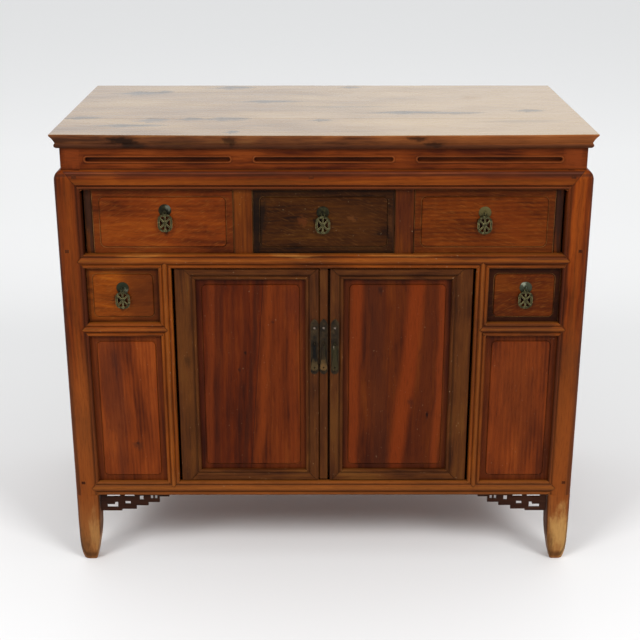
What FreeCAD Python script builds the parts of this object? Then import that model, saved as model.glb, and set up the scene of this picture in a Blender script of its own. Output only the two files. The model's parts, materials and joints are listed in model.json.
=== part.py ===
import FreeCAD, Part
import math
import os

Vector = FreeCAD.Vector
X = Vector(1, 0, 0)
Y = Vector(0, 1, 0)
Z = Vector(0, 0, 1)

# Overall size in millimetres. The front faces -Y and the feet stand on z = 0.
top_half_x = 553.0
top_half_y = 300.0
top_height = 975.0
top_thick = 30.0
body_half_x = 551.0
body_half_y = 298.0

# Heights of the front rails, bottom and top of each.
lower_z = (164.0, 197.0)
column_z = (541.0, 570.0)
middle_z = (692.0, 721.5)
upper_z = (860.0, 899.0)
waist_z = (899.0, 945.0)

# Section of the legs and rails, and the moulding on their faces.
leg_size = 53.0
leg_corner = 14.0
leg_flat = 24.0
rail_depth = 36.0
bead_width = 6.5
bead_rise = 2.6
slim_bead = 4.5
slim_rise = 1.8
groove_width = 1.5
relief = 3.5
shoulder_drop = 15.0
shoulder_start = 11.5
shoulder_mitre = 35.0
corner_fillet = 7.0
fillet_depth = (2.0, 14.0)
mitre_depth = 12.0
tenon_length = 22.0
tenon_depth = (14.0, 26.0)
crown_flat = 0.5

# Foot: height, then how far its outer and inner faces stand in from the outer face of the leg.
foot_sections = (
    (118.0, 0.0, 51.0),
    (80.0, 0.0, 49.5),
    (50.0, 0.4, 46.5),
    (32.0, 1.3, 43.6),
    (18.0, 2.9, 41.0),
    (8.0, 4.8, 38.8),
    (0.0, 7.2, 36.8),
)
foot_corner = 13.0
foot_round = 5.0

# Top boards: seams between the three planks, and the moulded edge.
top_seams = (-130.0, 205.0)
edge_inset = 10.0
edge_bead = 9.0
edge_bead_rise = 2.5
lip = 4.0
lip_chamfer = 0.5
edge_ease = 1.0
cove_share = 0.62
batten_size = (60.0, 20.0)
batten_x = 300.0

# Waist boards and their carved panels: centre and length of each.
waist_set = 15.0
waist_thick = 14.0
front_slots = ((-337.5, 303.0), (0.0, 291.0), (337.5, 303.0))
side_slots = ((-130.0, 225.0), (130.0, 225.0))
slot_height = 17.0
slot_centre_z = 920.5
slot_bead = 2.2
slot_depth = 5.0

# Upright lines of the front.
leg_inner = body_half_x - leg_size
leg_inner_y = body_half_y - leg_size
divider_x = (319.0, 345.0)
muntin_x = (147.0, 186.0)
strip_x = (477.5, 493.5)
panel_groove = 5.0

# Fixed panels and fronts: how far the border lies behind the leg face, and the raised field.
column_set = 11.0
column_thick = 10.0
column_margin = 14.5
field_raise = 2.6
field_round = 1.6
field_corner = 9.0
line_width = 1.4
line_depth = 1.0
drawer_set = 12.5
drawer_front_thick = 20.0
muntin_set = 11.0
strip_set = 17.0

# Drawers: side, top and bottom clearance, box walls, how deep the boxes reach.
drawer_side_gap = 1.0
drawer_top_gap = 2.5
drawer_bottom_gap = 0.5
box_wall = 10.0
box_inset = 1.0
box_floor = 6.0
box_floor_lift = 6.0
box_top_drop = 12.0
upper_box_rear = 205.0
small_box_rear = 150.0
upper_margin = 15.5
small_margin = 13.0

# Doors: outer and meeting edges, frame widths, pivot pins.
door_left_x = (-313.0, -10.5)
door_right_x = (313.0, 13.5)
door_z = (198.5, 689.5)
door_face = -291.0
door_thick = 22.0
hinge_stile = 43.0
meeting_stile = 28.0
door_rail = 24.5
door_panel_set = 9.0
door_panel_thick = 8.0
door_margin = 13.0
door_edge_round = 2.0
door_flat_share = 0.4
pivot_inset = 11.0
pivot_radius = 7.0
pivot_fit = 0.1
pivot_length = 9.0
pivot_end_gap = 0.6
door_tenon = (8.0, 16.0)
door_tenon_reach = (32.0, 22.0)
door_tenon_inset = 7.0

# Lift-out post between the doors.
post_half = 9.0
post_face = -290.0
post_back = -268.5
post_z = (201.0, 702.0)
post_tenon_half = 5.0
post_tenon_end = 189.5
post_socket_top = 716.0
post_gap = 0.4
post_round = 3.0
stop_half = 20.0
stop_thick = 10.0
stop_top = 679.0

# Pulls: how far each sits from the middle of its front and how high, then ring, plate and pendant.
pull_places = {
    "drawer_left": (5.0, 815.0),
    "drawer_centre": (-2.0, 810.5),
    "drawer_right": (0.0, 810.0),
    "drawer_small_left": (-1.0, 647.0),
    "drawer_small_right": (3.0, 647.5),
}
pull_ring = 4.0
pull_wire = 1.1
pull_plate_radius = 13.0
pull_plate_rim = 0.8
pull_plate_rise = 3.0
dome_middle = (0.6, 0.78)
pendant_half_w = 15.0
pendant_half_h = 18.5
pendant_corner = 12.0
pendant_rim = 4.2
pendant_thick = 2.2
pendant_drop = 25.5
eye_outer = 4.2
eye_inner = 2.2
spoke_width = 3.2
spoke_angles = (45.0, 90.0, 135.0)
boss_radius = 4.6
shank_radius = 1.3
shank_hole = 1.6
shank_overlap = 0.5
clinch_half = 7.0
clinch_thick = 1.2

# Lock plates on the doors and the post.
plate_half = 8.5
plate_z = (453.0, 579.0)
plate_thick = 1.6
plate_arch = 15.0
arch_middle = (0.72, 0.4)
plate_ring = 3.2
plate_wire = 0.9
plate_ring_sink = 1.2
plate_ring_z = 524.0
plate_pendant_length = 58.0
plate_pendant_top = 3.2
plate_pendant_half = 7.4
plate_pendant_thick = 1.8
tongue_neck = 22.0
tongue_round = 8.0
tongue_hole = 1.8
tongue_hole_rise = 6.5
tongue_foot = (0.75, 1.5)
plate_eye_outer = 3.4
plate_eye_inner = 1.8
nail_radius = 2.4
nail_height = 1.2
nail_taper = 0.5
nail_z = (459.0, 558.0)
plate_left_x = -19.5
plate_right_x = 24.0

# Corner brackets: width and depth of each step from the leg outward, and the piercings.
bracket_steps = ((47.0, 42.0), (79.5, 38.0), (106.5, 29.0), (132.0, 21.0), (154.0, 7.0))
bracket_holes = (
    (14.5, 44.0, 2.4, 8.0),
    (14.5, 38.5, 26.0, 34.5),
    (31.5, 38.5, 20.5, 26.0),
    (54.0, 76.0, 2.8, 8.0),
    (54.5, 67.0, 18.5, 26.5),
    (87.5, 96.0, 5.0, 16.5),
    (112.0, 117.5, 4.0, 13.5),
    (121.5, 127.0, 4.0, 13.5),
)
bracket_set = 8.0
bracket_thick = 6.0

# Inside.
floor_z = (184.0, 196.0)
floor_groove = 6.0
rear_set = 4.0
rear_depth = 30.0
rear_tenon = (8.0, 18.0)
back_panel_set = 14.0
back_panel_thick = 10.0
rear_stile_half = 22.0
side_panel_set = 11.0
side_panel_thick = 10.0
partition_x = (326.0, 338.0)
partition_z = (541.0, 706.0)

# Drawer runners and guides, measured from the uprights that they follow.
runner_thick = 15.0
side_runner_width = 36.0
muntin_runner_side = 20.0
small_runner_x = (12.0, 16.0)
divider_runner = 17.0
guide_height = 16.0
guide_gap = 2.0

# Pegs across the tenons: width, height and depth of each.
peg_size = (8.0, 6.0, 12.0)
leg_peg_x = 532.0
leg_peg_z = (729.5, 195.0)
rail_peg_x = (-508.0, -26.0, 508.0)
rail_peg_z = 886.0

front = -body_half_y
rear_face = body_half_y - rear_set - rear_depth
tiny = 1e-6


# Closed outline: points are (u, v), and (mu, mv, u, v) is an arc through its middle point.
def wire(path, origin, u, v):
    def place(a, b):
        return origin + u * a + v * b

    here = place(*path[0])
    edges = []
    for step in path[1:]:
        target = place(*step[-2:])
        if len(step) == 4:
            edges.append(Part.Arc(here, place(*step[:2]), target).toShape())
        else:
            edges.append(Part.LineSegment(here, target).toShape())
        here = target
    first = place(*path[0])
    if here.distanceToPoint(first) > tiny:
        edges.append(Part.LineSegment(here, first).toShape())
    return Part.Wire(edges)


def bar(path, origin, u, v, along):
    return Part.Face(wire(path, origin, u, v)).extrude(along)


def block(low, high):
    size = Vector(*high) - Vector(*low)
    return Part.makeBox(size.x, size.y, size.z, Vector(*low))


def join(shapes):
    first = shapes[0]
    return first.fuse(list(shapes[1:])).removeSplitter() if len(shapes) > 1 else first


def take_out(shape, tools):
    return shape.cut(list(tools))


def mirrored(shape):
    return shape.mirror(Vector(0, 0, 0), X)


def both_sides(shape):
    return [shape, mirrored(shape)]


# How far the middle of a rounded corner lies in from its two sides.
def corner_cut(radius):
    return radius * (1 - math.sqrt(0.5))


def rectangle(u0, u1, v0, v1):
    return [(u0, v0), (u1, v0), (u1, v1), (u0, v1)]


# Arc that leaves the face level at start and is drop lower at end.
def falling_arc(start, end, drop):
    run = end - start
    radius = (run * run + drop * drop) / (2 * drop)
    half = math.atan(drop / run)
    return (start + radius * math.sin(half), radius * (1 - math.cos(half)), end, drop)


# Quarter round of the shoulders as two arcs: height above the rail's foot, then depth behind the face.
def shoulder_round():
    rise = upper_z[1] - upper_z[0] - shoulder_start
    points = []
    for step in (1, 2, 3, 4):
        turn = math.pi / 2 * step / 4
        points.append((shoulder_start + rise * math.sin(turn), shoulder_drop * (1 - math.cos(turn))))
    return points[0] + points[1], points[2] + points[3]


def bead(start):
    return (start + bead_width / 2, relief - bead_rise, start + bead_width, relief)


# Rail section: a bead on each edge and a rounded band between them. The upper bead may be slimmer.
def moulding(width, last=bead_width, last_rise=bead_rise):
    low = bead_width + groove_width
    high = width - last - groove_width
    return [
        (0, rail_depth),
        (0, relief),
        bead(0),
        (low, relief),
        ((low + high) / 2, 0, high, relief),
        (width - last, relief),
        (width - last / 2, relief - last_rise, width, relief),
        (width, rail_depth),
    ]


# Upper rail section: a bead below, then a face that rounds over into the waist.
def upper_moulding():
    height = upper_z[1] - upper_z[0]
    step = bead_width + groove_width
    low_round, high_round = shoulder_round()
    rise_start = shoulder_start - crown_flat
    rise = falling_arc(0, rise_start - step, relief)
    return [
        (0, rail_depth),
        (0, relief),
        bead(0),
        (step, relief),
        (rise_start - rise[0], rise[1], rise_start, 0),
        (shoulder_start, 0),
        low_round,
        high_round,
        (height, rail_depth),
    ]


# Bar whose face has shaped ends let into its neighbours, with a stub tenon behind each.
def let_in(section, corner, along, across, inward, length, outline):
    width = max(v for u, v in outline)
    reach = max(tenon_length, -min(u for u, v in outline))
    body = bar(section, corner - along * reach, across, inward, along * (length + 2 * reach))
    face = bar(outline, corner, along, across, inward * mitre_depth)
    core = bar(rectangle(0, length, 0, width), corner, along, across, inward * rail_depth)
    tenon = rectangle(-tenon_length, length + tenon_length, width / 4, width * 3 / 4)
    near, far = tenon_depth
    tongue = bar(tenon, corner + inward * near, along, across, inward * (far - near))
    mouth = bar(outline, corner - inward * relief, along, across, inward * (mitre_depth + relief))
    return body.common(join([face, core, tongue])).removeSplitter(), join([mouth, tongue])


def pointed(length, width):
    half = width / 2
    return [(0, 0), (length, 0), (length + half, half), (length, width), (0, width), (-half, half)]


def front_rail(section, heights, x0, x1):
    height = heights[1] - heights[0]
    length = x1 - x0
    corner = Vector(x0, front, heights[0])
    return let_in(section, corner, X, Z, Y, length, pointed(length, height))


def side_rail(section, heights):
    height = heights[1] - heights[0]
    length = 2 * leg_inner_y
    corner = Vector(-body_half_x, -leg_inner_y, heights[0])
    return let_in(section, corner, Y, Z, X, length, pointed(length, height))


def mitred_upper_rail(corner, along, inward, length):
    height = upper_z[1] - upper_z[0]
    reach = shoulder_mitre
    outline = [(0, 0), (length, 0), (length + reach, height), (-reach, height)]
    return let_in(upper_moulding(), corner, along, Z, inward, length, outline)


# Rounded filling in the corner between a leg and the foot of the upper rail.
def upper_fillet():
    r = corner_fillet
    cut = corner_cut(r)
    near, far = fillet_depth
    path = [(0, 0), (r, 0), (cut, -cut, 0, -r)]
    return bar(path, Vector(-leg_inner, front + near, upper_z[0]), X, Z, Y * (far - near))


def rear_rail(heights):
    low, high = heights
    quarter = (high - low) / 4
    reach = leg_inner + tenon_length
    near, far = rear_tenon
    body = block((-leg_inner, rear_face, low), (leg_inner, rear_face + rear_depth, high))
    tongue = block((-reach, rear_face + near, low + quarter), (reach, rear_face + far, high - quarter))
    return join([body, tongue])


def divider(x0, x1):
    width = x1 - x0
    length = middle_z[0] - lower_z[1]
    corner = Vector(x0, front, lower_z[1])
    return let_in(moulding(width), corner, Z, X, Y, length, pointed(length, width))


# Leg seen from above, with u and v running inward from its outer corner.
def leg_section(moulded_front):
    crest = leg_size - bead_width
    slope = falling_arc(leg_flat, crest - groove_width, relief)
    beaded = [(leg_corner, 0), (leg_flat, 0), slope, (crest, relief), bead(crest)]
    plain = [(leg_corner, 0), (leg_size, 0)]
    curve = corner_cut(leg_corner)
    side = [
        (leg_size, leg_size),
        (relief, leg_size),
        (relief - bead_rise, leg_size - bead_width / 2, relief, crest),
        (relief, crest - groove_width),
        (slope[1], slope[0], 0, leg_flat),
        (0, leg_corner),
        (curve, curve, leg_corner, 0),
    ]
    return (beaded if moulded_front else plain) + side


def foot_wire(height, outer, inner, corner, u, v):
    c = foot_corner
    r = foot_round
    near = corner_cut(c)
    far = corner_cut(r)
    path = [
        (outer + c, outer),
        (inner - r, outer),
        (inner - far, outer + far, inner, outer + r),
        (inner, inner - r),
        (inner - far, inner - far, inner - r, inner),
        (outer + r, inner),
        (outer + far, inner - far, outer, inner - r),
        (outer, outer + c),
        (outer + near, outer + near, outer + c, outer),
    ]
    return wire(path, corner + Z * height, u, v)


# Leg at x < 0: moulded shaft, plain lower part, drawn-in foot and a stub up to the top.
def leg(y_sign, moulded_front):
    corner = Vector(-body_half_x, y_sign * body_half_y, 0)
    v = Y * -y_sign
    shaft = bar(leg_section(moulded_front), corner + Z * lower_z[0], X, v, Z * (upper_z[1] - lower_z[0]))
    shaft = shaft.common(shoulder_mask())
    rings = [foot_wire(height, outer, inner, corner, X, v) for height, outer, inner in foot_sections]
    plain = Part.Face(rings[0]).extrude(Z * (lower_z[0] - foot_sections[0][0]))
    foot = Part.makeLoft(rings, True, False)
    inset = waist_set + waist_thick
    stub = rectangle(inset, leg_size, inset, leg_size)
    stub = bar(stub, corner + Z * waist_z[0], X, v, Z * (waist_z[1] - waist_z[0]))
    return join([shaft, plain, foot, stub])


# Space under the rounded shoulders on all four sides.
def shoulder_mask():
    base = upper_z[0]
    (h1, d1, h2, d2), (h3, d3, h4, d4) = shoulder_round()

    def profile(half):
        return [
            (-half, 0),
            (half, 0),
            (half, base + shoulder_start),
            (half - d1, base + h1, half - d2, base + h2),
            (half - d3, base + h3, half - d4, base + h4),
            (d4 - half, base + h4),
            (d3 - half, base + h3, d2 - half, base + h2),
            (d1 - half, base + h1, -half, base + shoulder_start),
        ]

    across = bar(profile(body_half_x), Vector(0, front, 0), X, Z, Y * (2 * body_half_y))
    along = bar(profile(body_half_y), Vector(-body_half_x, 0, 0), Y, Z, X * (2 * body_half_x))
    return across.common(along)


# Moulded plank edge: bead below, cove, and a flat lip on top, on both edges.
def top_edge_profile(half):
    ease = edge_ease
    cut = corner_cut(ease)
    face = half - edge_inset
    bead_top = edge_bead + ease
    lip_low = top_thick - lip
    right = [
        (face - ease, 0),
        (face, ease),
        (face + edge_bead_rise, ease + edge_bead / 2, face, bead_top),
        (half - edge_inset * cove_share, (bead_top + lip_low) / 2, half - lip_chamfer, lip_low),
        (half, lip_low + lip_chamfer),
        (half, top_thick - ease),
        (half - cut, top_thick - cut, half - ease, top_thick),
    ]
    left = [(-right[-1][-2], top_thick)]
    for last, step in zip(reversed(right[:-1]), reversed(right)):
        middle = (-step[0], step[1]) if len(step) == 4 else ()
        left.append(middle + (-last[-2], last[-1]))
    return right + left


def top_boards():
    base = top_height - top_thick
    width = 2 * top_half_x
    depth = 2 * top_half_y
    across = bar(top_edge_profile(top_half_x), Vector(0, -top_half_y, base), X, Z, Y * depth)
    along = bar(top_edge_profile(top_half_y), Vector(-top_half_x, 0, base), Y, Z, X * width)
    slab = across.common(along)
    lines = (-top_half_y, top_seams[0], top_seams[1], top_half_y)
    boards = []
    for y0, y1 in zip(lines[:-1], lines[1:]):
        boards.append(slab.common(block((-top_half_x, y0, base), (top_half_x, y1, top_height))))
    return boards


def stadium(length, height):
    a = (length - height) / 2
    h = height / 2
    return [(-a, -h), (a, -h), (a + h, 0, a, h), (-a, h), (-a - h, 0, -a, -h)]


# Long round-ended sunk panels, each in a raised bead.
def carve(board, slots, origin, along, outward):
    for centre, length in slots:
        middle = origin + along * centre
        sunk = stadium(length - 4 * slot_bead, slot_height - 4 * slot_bead)
        board = board.cut(bar(sunk, middle, along, Z, outward * -slot_depth))
        path = wire(stadium(length - 2 * slot_bead, slot_height - 2 * slot_bead), middle, along, Z)
        start = path.Edges[0].Vertexes[0].Point
        ring = Part.Wire([Part.Circle(start, along, slot_bead).toShape()])
        board = board.fuse(path.makePipeShell([ring], True, False))
    return board.removeSplitter()


# Mitred waist board seen from above, lying against the outward side.
def waist_board(half, set_in, along, outward):
    wide = half - waist_set
    narrow = wide - waist_thick
    face = set_in - waist_set
    back = face - waist_thick
    outline = [(-wide, face), (wide, face), (narrow, back), (-narrow, back)]
    return bar(outline, Z * waist_z[0], along, outward, Z * (waist_z[1] - waist_z[0]))


def rounded(x0, x1, z0, z1, r):
    c = corner_cut(r)
    return [
        (x0 + r, z0),
        (x1 - r, z0),
        (x1 - c, z0 + c, x1, z0 + r),
        (x1, z1 - r),
        (x1 - c, z1 - c, x1 - r, z1),
        (x0 + r, z1),
        (x0 + c, z1 - c, x0, z1 - r),
        (x0, z0 + r),
        (x0 + c, z0 + c, x0 + r, z0),
    ]


# Board facing the front with a raised, round-cornered field and a fine line sunk round it.
def raised_board(outer, field, face, thick):
    x0, x1, z0, z1 = outer
    a0, a1, b0, b1 = field
    board = block((x0, face, z0), (x1, face + thick, z1))
    origin = Vector(0, face, 0)
    w = line_width
    inside = rounded(a0, a1, b0, b1, field_corner)
    outside = rounded(a0 - w, a1 + w, b0 - w, b1 + w, field_corner + w)
    line = bar(outside, origin, X, Z, Y * line_depth).cut(bar(inside, origin, X, Z, Y * line_depth))
    panel = bar(inside, origin, X, Z, Y * -field_raise)
    level = face - field_raise
    rim = [edge for edge in panel.Edges if all(abs(end.Y - level) < tiny for end in edge.Vertexes)]
    panel = panel.makeFillet(field_round, rim)
    return board.cut(line).fuse(panel).removeSplitter()


def inset_field(box, margin):
    x0, x1, z0, z1 = box
    return (x0 + margin, x1 - margin, z0 + margin, z1 - margin)


def grow(box, amount):
    return inset_field(box, -amount)


def column_panel():
    opening = (-leg_inner, -divider_x[1], lower_z[1], column_z[0])
    field = inset_field(opening, column_margin)
    return raised_board(grow(opening, panel_groove), field, front + column_set, column_thick)


def side_panels():
    x0 = -body_half_x + side_panel_set
    g = panel_groove
    y0 = -leg_inner_y - g
    y1 = leg_inner_y + g
    panels = []
    for z0, z1 in ((lower_z[1], middle_z[0]), (middle_z[1], upper_z[0])):
        panels.append(block((x0, y0, z0 - g), (x0 + side_panel_thick, y1, z1 + g)))
    return panels


def back_panels():
    y0 = body_half_y - back_panel_set - back_panel_thick
    y1 = y0 + back_panel_thick
    g = panel_groove
    upper = block((-leg_inner - g, y0, middle_z[1] - g), (leg_inner + g, y1, upper_z[0] + g))
    left = block((-leg_inner - g, y0, lower_z[1] - g), (-rear_stile_half + g, y1, middle_z[0] + g))
    return [upper, left, mirrored(left)]


def bracket():
    outline = [(0, 0), (bracket_steps[-1][0], 0)]
    for index in range(len(bracket_steps) - 1, -1, -1):
        reach, depth = bracket_steps[index]
        inner = bracket_steps[index - 1][0] if index else 0
        outline += [(reach, depth), (inner, depth)]
    corner = Vector(-leg_inner, front + bracket_set, lower_z[0])
    plate = bar(outline, corner, X, -Z, Y * bracket_thick)
    holes = []
    for s0, s1, t0, t1 in bracket_holes:
        holes.append(bar(rectangle(s0, s1, t0, t1), corner, X, -Z, Y * bracket_thick))
    return take_out(plate, holes)


# Drawer front, then its box: two sides, a back and a bottom.
def drawer(x0, x1, z0, z1, rear, margin, pull_x, pull_z):
    x0 += drawer_side_gap
    x1 -= drawer_side_gap
    z0 += drawer_bottom_gap
    z1 -= drawer_top_gap
    face = front + drawer_set
    face_box = (x0, x1, z0, z1)
    front_board = raised_board(face_box, inset_field(face_box, margin), face, drawer_front_thick)
    pull_place = Vector(pull_x, face - field_raise, pull_z)
    hole = Part.makeCylinder(shank_hole, drawer_front_thick + field_raise, pull_place, Y)
    front_board = front_board.cut(hole)
    y0 = face + drawer_front_thick
    top = z1 - box_top_drop
    outer0 = x0 + box_inset
    outer1 = x1 - box_inset
    inner0 = outer0 + box_wall
    inner1 = outer1 - box_wall
    left = block((outer0, y0, z0), (inner0, rear, top))
    right = block((inner1, y0, z0), (outer1, rear, top))
    floor_low = z0 + box_floor_lift
    floor = block((inner0, y0, floor_low), (inner1, rear - box_wall, floor_low + box_floor))
    back = block((inner0, rear - box_wall, z0 + box_inset), (inner1, rear, top))
    return front_board, [left, right, floor, back]


# Domed round plate with a ring in front and a pin through the drawer front, its ends bent apart.
def pull_plate(x, face, z):
    radius = pull_plate_radius
    rise = pull_plate_rise
    path = [(0, 0), (radius, 0), (radius, pull_plate_rim)]
    path.append((radius * dome_middle[0], rise * dome_middle[1], 0, rise))
    centre = Vector(x, face, z)
    dome = Part.Face(wire(path, centre, X, -Y)).revolve(centre, Y, 360)
    ring_centre = centre - Y * (rise + pull_ring - pull_wire)
    ring = Part.makeTorus(pull_ring, pull_wire, ring_centre, X)
    r = shank_radius
    back = drawer_front_thick + field_raise
    shank = Part.makeCylinder(r, back + rise, centre - Y * (rise - shank_overlap), Y)
    behind = face + back
    clinch = block((x - clinch_half, behind, z - r), (x + clinch_half, behind + clinch_thick, z + r))
    return join([dome, ring, shank, clinch]), ring_centre


# Pierced pendant with round corners: rim, spokes, boss and an eye round the ring's wire.
def pull_pendant(pivot):
    back = pivot + Y * (pendant_thick / 2)
    middle = back - Z * pendant_drop

    def plate(inset):
        w = pendant_half_w - inset
        h = pendant_half_h - inset
        return bar(rounded(-w, w, -h, h, pendant_corner - inset), middle, X, Z, Y * -pendant_thick)

    outer = plate(0)
    inner = plate(pendant_rim)
    spokes = []
    reach = pendant_half_h
    half = spoke_width / 2
    for angle in spoke_angles:
        spoke = block((-reach, 0, -half), (reach, pendant_thick, half))
        spoke.rotate(Vector(0, 0, 0), Y, angle)
        spoke.translate(middle - Y * pendant_thick)
        spokes.append(spoke)
    boss = Part.makeCylinder(boss_radius, pendant_thick, middle, -Y)
    lattice = join(spokes + [boss]).common(inner)
    eye_centre = back - Z * pull_ring
    eye = Part.makeCylinder(eye_outer, pendant_thick, eye_centre, -Y)
    hole = Part.makeCylinder(eye_inner, pendant_thick, eye_centre, -Y)
    return join([outer.cut(inner), lattice, eye]).cut(hole)


# Tall plate with a pointed top, a round foot, two nails and a ring.
def lock_plate(x, face):
    h = plate_half
    low, high = plate_z
    wide, below = arch_middle
    path = [
        (-h, low + h),
        (0, low, h, low + h),
        (h, high - plate_arch),
        (h * wide, high - plate_arch * below, 0, high),
        (-h * wide, high - plate_arch * below, -h, high - plate_arch),
    ]
    sheet = bar(path, Vector(x, face, 0), X, Z, Y * -plate_thick)
    level = face - plate_thick
    nails = []
    for z in nail_z:
        head = nail_radius * nail_taper
        nails.append(Part.makeCone(nail_radius, head, nail_height, Vector(x, level, z), -Y))
    ring_centre = Vector(x, level - plate_ring - plate_wire + plate_ring_sink, plate_ring_z)
    ring = Part.makeTorus(plate_ring, plate_wire, ring_centre, X)
    return join([sheet, ring] + nails), ring_centre


# Tongue that hangs from the ring: a narrow neck, then a wider pierced end with a rounded foot.
def lock_pendant(pivot):
    back = pivot + Y * (plate_pendant_thick / 2)
    top = -plate_ring
    neck = top - tongue_neck
    foot = top - plate_pendant_length
    w = plate_pendant_half
    t = plate_pendant_top
    share, lift = tongue_foot
    outline = [
        (-t, top),
        (-t, neck),
        (-w, foot + tongue_round),
        (-w * share, foot + lift, 0, foot),
        (w * share, foot + lift, w, foot + tongue_round),
        (t, neck),
        (t, top),
    ]
    tongue = bar(outline, back, X, Z, Y * -plate_pendant_thick)
    eye_centre = back - Z * plate_ring
    eye = Part.makeCylinder(plate_eye_outer, plate_pendant_thick, eye_centre, -Y)
    hole = Part.makeCylinder(plate_eye_inner, plate_pendant_thick, eye_centre, -Y)
    low_centre = back + Z * (foot + tongue_hole_rise)
    low_hole = Part.makeCylinder(tongue_hole, plate_pendant_thick, low_centre, -Y)
    return take_out(join([tongue, eye]), [hole, low_hole])


# Door member section: eased outer edge, level face, bead along the inner edge.
def door_section(width):
    crest = width - bead_width
    flat = width * door_flat_share
    slope = falling_arc(flat, crest - groove_width, relief)
    r = door_edge_round
    cut = corner_cut(r)
    return [
        (0, door_thick),
        (0, r),
        (cut, cut, r, 0),
        (flat, 0),
        slope,
        (crest, relief),
        bead(crest),
        (width, door_thick),
    ]


# Mitred frame of two stiles and two rails round a panel, with pivot pins on the hinge stile.
def door(x_outer, x_meet):
    s = 1 if x_meet > x_outer else -1
    z0, z1 = door_z
    xi_h = x_outer + s * hinge_stile
    xi_m = x_meet - s * meeting_stile
    xo_h = xi_h - s * door_rail
    xo_m = xi_m + s * door_rail
    zi0 = z0 + door_rail
    zi1 = z1 - door_rail
    toward = X * s
    rise = Z * (z1 - z0)
    span = toward * abs(x_meet - x_outer)

    def member(width, corner, across, along, outline):
        mask = bar(outline, Y * door_face, X, Z, Y * door_thick)
        return bar(door_section(width), corner, across, Y, along).common(mask)

    low_corner = Vector(x_outer, door_face, z0)
    high_corner = Vector(x_outer, door_face, z1)
    meet_corner = Vector(x_meet, door_face, z0)
    hinge_outline = [(x_outer, z0), (x_outer, z1), (xo_h, z1), (xi_h, zi1), (xi_h, zi0), (xo_h, z0)]
    meet_outline = [(x_meet, z0), (x_meet, z1), (xo_m, z1), (xi_m, zi1), (xi_m, zi0), (xo_m, z0)]
    hinge = member(hinge_stile, low_corner, toward, rise, hinge_outline)
    meeting = member(meeting_stile, meet_corner, -toward, rise, meet_outline)
    top = member(door_rail, high_corner, -Z, span, [(xo_h, z1), (xo_m, z1), (xi_m, zi1), (xi_h, zi1)])
    low = member(door_rail, low_corner, Z, span, [(xo_h, z0), (xo_m, z0), (xi_m, zi0), (xi_h, zi0)])

    y0 = door_face + door_tenon[0]
    y1 = door_face + door_tenon[1]
    ends = sorted((xi_h - s * door_tenon_reach[0], xi_m + s * door_tenon_reach[1]))
    inset = door_tenon_inset
    top = join([top, block((ends[0], y0, zi1 + inset), (ends[1], y1, z1 - inset))])
    low = join([low, block((ends[0], y0, z0 + inset), (ends[1], y1, zi0 - inset))])

    pivot = Vector(x_outer + s * pivot_inset, door_face + door_thick / 2, 0)
    pins = [Part.makeCylinder(pivot_radius, pivot_length, pivot + Z * z1)]
    pins.append(Part.makeCylinder(pivot_radius, pivot_length, pivot + Z * (z0 - pivot_length)))
    hinge = join([hinge] + pins)

    left, right = sorted((xi_h, xi_m))
    opening = (left, right, zi0, zi1)
    field = inset_field(opening, door_margin)
    panel = raised_board(grow(opening, panel_groove), field, door_face + door_panel_set, door_panel_thick)
    rails = [shape.cut(panel) for shape in (top, low)]
    stiles = [take_out(shape, rails + [panel]) for shape in (hinge, meeting)]
    return stiles + rails, panel, pivot


def pivot_sockets(pivot):
    radius = pivot_radius + pivot_fit
    depth = pivot_length + pivot_end_gap
    top = Part.makeCylinder(radius, depth, pivot + Z * door_z[1])
    low = Part.makeCylinder(radius, depth, pivot + Z * (door_z[0] - depth))
    return top, low


# Post that lifts into a deep socket above, with a stop strip behind for the doors.
def centre_post():
    web = block((-post_half, post_face, post_z[0]), (post_half, post_back, post_z[1]))
    centres = [(edge, edge.CenterOfMass) for edge in web.Edges]
    uprights = [edge for edge, at in centres if abs(at.y - post_face) < tiny and abs(at.x) > post_half / 2]
    web = web.makeFillet(post_round, uprights)
    centre_y = (post_face + post_back) / 2
    t = post_tenon_half
    tenon = block((-t, centre_y - t, post_tenon_end), (t, centre_y + t, post_z[0]))
    strip = block((-stop_half, post_back, post_z[0]), (stop_half, post_back + stop_thick, stop_top))
    w = post_half + post_gap
    g = post_gap
    k = t + g
    top_socket = block((-w, post_face - g, middle_z[0]), (w, post_back + g, post_socket_top))
    low_socket = block((-k, centre_y - k, post_tenon_end - g), (k, centre_y + k, lower_z[1]))
    return [join([web, tenon]), strip], top_socket, low_socket


# Bars under the drawers, and guides that keep the upper drawers apart.
def runners():
    y0 = front + rail_depth
    top = middle_z[1]
    low = top - runner_thick
    guide = top + guide_height
    inside, outside = muntin_x
    side = muntin_runner_side
    small_top = column_z[1]
    small_low = small_top - runner_thick
    out, into = small_runner_x
    pieces = [
        block((-leg_inner, y0, low), (-leg_inner + side_runner_width, rear_face, top)),
        block((-leg_inner, y0, top), (-strip_x[0] - guide_gap, rear_face, guide)),
        block((-outside - side, y0, low), (-inside + side, rear_face, top)),
        block((-outside + guide_gap, y0, top), (-inside - guide_gap, rear_face, guide)),
        block((-leg_inner - out, -leg_inner_y, small_low), (-leg_inner + into, leg_inner_y, small_top)),
        block((-divider_x[1] - divider_runner, y0, small_low), (-partition_x[1], rear_face, small_top)),
    ]
    return [shape for piece in pieces for shape in both_sides(piece)]


def save(name, shapes):
    shape = shapes[0] if len(shapes) == 1 else Part.makeCompound(shapes)
    shape.exportStep("parts/" + name + ".step")


# Blank for a peg driven into the front at (x, z).
def peg(x, z):
    w, h, d = peg_size
    return block((x - w / 2, front, z - h / 2), (x + w / 2, front + d, z + h / 2))


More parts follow.
